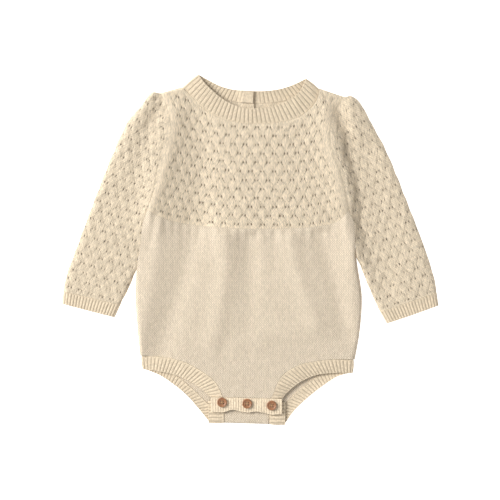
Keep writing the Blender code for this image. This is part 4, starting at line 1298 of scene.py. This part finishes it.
thread = {
    "diameter": 0.75, "sides": 8, "parts": 10,
    "floor": 0.62,                             # share of the button's thickness at which the holes open
    "start": -0.9, "arch": 1.15, "overOther": 0.25, "archRound": 0.5,
    "deep": (0.36, 0.22, 0.10), "color": (0.52, 0.35, 0.18),
    "twistScale": 900.0, "bumpStrength": 0.5, "bump": 0.2,
    "roughness": 0.7, "sheen": 0.2,
}


def woodFinish():
    board = Board("turnedWood", button["roughness"], Coat_Weight=button["coat"],
                  Coat_Roughness=button["coatRoughness"])
    place = board.add("ShaderNodeTexCoord", output=3)
    turned = board.add("ShaderNodeMapping", inputs={0: place, 3: button["stretch"], 2: button["lean"]})
    grain = board.noise(turned, button["grainScale"], 5.0)
    streak = board.noise(turned, button["streakScale"])
    dark = ((grain - button["grainFrom"]) * button["grainHard"]).clamped()
    light = ((streak - button["streakFrom"]) * button["streakHard"]).clamped()
    base = board.mixed(dark, button["dark"], button["color"])
    board.plug("Base Color", board.mixed(light, base, button["light"]))
    height = grain * button["grainShare"] + streak * (1 - button["grainShare"])
    board.bump(height, button["bumpStrength"], button["bump"] * mm)
    return board.material


def threadFinish():
    board = Board("sewingThread", thread["roughness"], Sheen_Weight=thread["sheen"])
    place = board.add("ShaderNodeTexCoord", output=3)
    twist = board.add("ShaderNodeTexWave", {"wave_type": "BANDS", "bands_direction": "DIAGONAL"},
                      {"Vector": place, "Scale": thread["twistScale"], "Distortion": 1.0}, 1)
    # the twist's grooves in a darker brown: painted shade between the plies
    board.plug("Base Color", board.mixed(twist, thread["deep"], thread["color"]))
    board.bump(twist, thread["bumpStrength"], thread["bump"] * mm)
    return board.material


def holePlaces():
    half = button["holeSpacing"] / 2
    return [(-half, -half), (half, -half), (half, half), (-half, half)]


def turnedBlank(side, at):
    bm = bmesh.new()
    profile = [bm.verts.new((radius * button["diameter"] / 2 * mm, 0, height * button["thickness"] * mm))
               for radius, height in button["profile"]]
    edges = [bm.edges.new(pair) for pair in zip(profile, profile[1:])]
    bmesh.ops.spin(bm, geom=profile + edges, cent=(0, 0, 0), axis=(0, 0, 1), angle=2 * math.pi,
                   steps=button["steps"], use_merge=True)
    bmesh.ops.remove_doubles(bm, verts=bm.verts, dist=1e-6)
    bmesh.ops.translate(bm, vec=at * mm, verts=bm.verts)
    bmesh.ops.recalc_face_normals(bm, faces=bm.faces)
    return placed(f"blank{side}", meshOf(f"blank{side}", bm))


def drillsOf(side, at):
    bm = bmesh.new()
    radius = button["holeDiameter"] / 2 * mm
    for dx, dy in holePlaces():
        made = bmesh.ops.create_cone(bm, cap_ends=True, segments=button["holeSides"], radius1=radius,
                                     radius2=radius, depth=button["holeDepth"] * mm)
        bmesh.ops.translate(bm, vec=(at + (dx, dy, 0)) * mm, verts=made["verts"])
    return placed(f"holes{side}", meshOf(f"holes{side}", bm))


def stitchedThread(side, at):
    # the thread crosses between the holes and goes down them
    bm = bmesh.new()
    thick = thread["diameter"] / 2
    low = thread["floor"] * button["thickness"] + thread["start"]
    holes = np.array(holePlaces())
    for first, last in ((0, 2), (1, 3)):
        ahead = holes[last] - holes[first]
        heading = math.atan2(ahead[1], ahead[0])
        path = []
        for share in np.linspace(0, 1, thread["parts"] + 1):
            arch = math.sin(math.pi * share) ** thread["archRound"]
            height = low + (thread["arch"] + thread["overOther"] * first) * arch
            path.append(at + (*(holes[first] + ahead * share), height))
        made = bmesh.ops.create_grid(bm, x_segments=thread["sides"], y_segments=thread["parts"], size=0.5)
        for vert in made["verts"]:
            turn = 2 * math.pi * round((vert.co.x + 0.5) * thread["sides"]) / thread["sides"]
            aside, up = thick * math.cos(turn), thick * math.sin(turn)
            beam = path[round((vert.co.y + 0.5) * thread["parts"])]
            vert.co = (beam + (-math.sin(heading) * aside, math.cos(heading) * aside, up)) * mm
    bmesh.ops.remove_doubles(bm, verts=bm.verts, dist=1e-7)
    bmesh.ops.holes_fill(bm, edges=[edge for edge in bm.edges if edge.is_boundary], sides=0)
    bmesh.ops.recalc_face_normals(bm, faces=bm.faces)
    return finished(f"thread{side.capitalize()}", meshOf(f"thread{side}", bm))


def makeButton(side, wood, cotton):
    at = np.array([*(buttonPlaces[side] + shift), button["rest"]])
    blank, holes = turnedBlank(side, at), drillsOf(side, at)
    cut = blank.modifiers.new("holes", "BOOLEAN")
    cut.object = holes
    bpy.context.view_layer.update()
    drilled = bpy.data.meshes.new_from_object(blank.evaluated_get(bpy.context.evaluated_depsgraph_get()))
    for item in (blank, holes):
        bpy.data.objects.remove(item)
    item = finished(f"button{side.capitalize()}", drilled)
    drilled.set_sharp_from_angle(angle=math.radians(button["sharpFrom"]))
    dressed(item, wood, f"button_{side}")
    dressed(stitchedThread(side, at), cotton)


wood, cotton = woodFinish(), threadFinish()
for side in buttonPlaces:
    makeButton(side, wood, cotton)
print("buttons made")

# Floor, light and camera.
studio = {
    "floorColor": (0.9, 0.9, 0.9), "floorGlow": 0.8, "floorRoughness": 0.9, "floorSize": 6.0,
    "cameraHeight": 2.0, "frameWidth": 0.55, "sensor": 36.0,
    "frameCentre": (0.0, -0.00055),
    "key": ((-2.75, 1.1, 2.55), 2.0, 180.0),
    "fill": ((0.6, -0.4, 1.9), 1.8, 8.0),
    "world": 0.35,
}
white = (1, 1, 1, 1)


def makeStudio():
    bm = bmesh.new()
    bmesh.ops.create_grid(bm, x_segments=4, y_segments=4, size=studio["floorSize"])
    floor = placed("floor", meshOf("floor", bm))
    board = Board("paleFloor", studio["floorRoughness"], Base_Color=(*studio["floorColor"], 1),
                  Emission_Color=white, Emission_Strength=studio["floorGlow"])
    floor.data.materials.append(board.material)
    for name in ("key", "fill"):
        place, size, power = studio[name]
        lamp = bpy.data.lights.new(name, "AREA")
        lamp.shape, lamp.size, lamp.energy = "DISK", size, power
        item = placed(name, lamp)
        item.location = place
        item.rotation_mode = "QUATERNION"
        item.rotation_quaternion = item.location.to_track_quat("Z", "Y")
    world = bpy.data.worlds.new("studio")
    world.use_nodes = True
    background = world.node_tree.nodes["Background"].inputs
    background[0].default_value, background[1].default_value = white, studio["world"]
    bpy.context.scene.world = world
    lens = bpy.data.cameras.new("camera")
    lens.sensor_width = studio["sensor"]
    lens.lens = studio["sensor"] * studio["cameraHeight"] / studio["frameWidth"]
    camera = placed("camera", lens)
    x, y = studio["frameCentre"]
    camera.location = (x + shift[0] * mm, y + shift[1] * mm, studio["cameraHeight"])
    bpy.context.scene.camera = camera
    bpy.context.scene.view_settings.view_transform = "Standard"


makeStudio()
print("studio made")

bpy.context.view_layer.update()
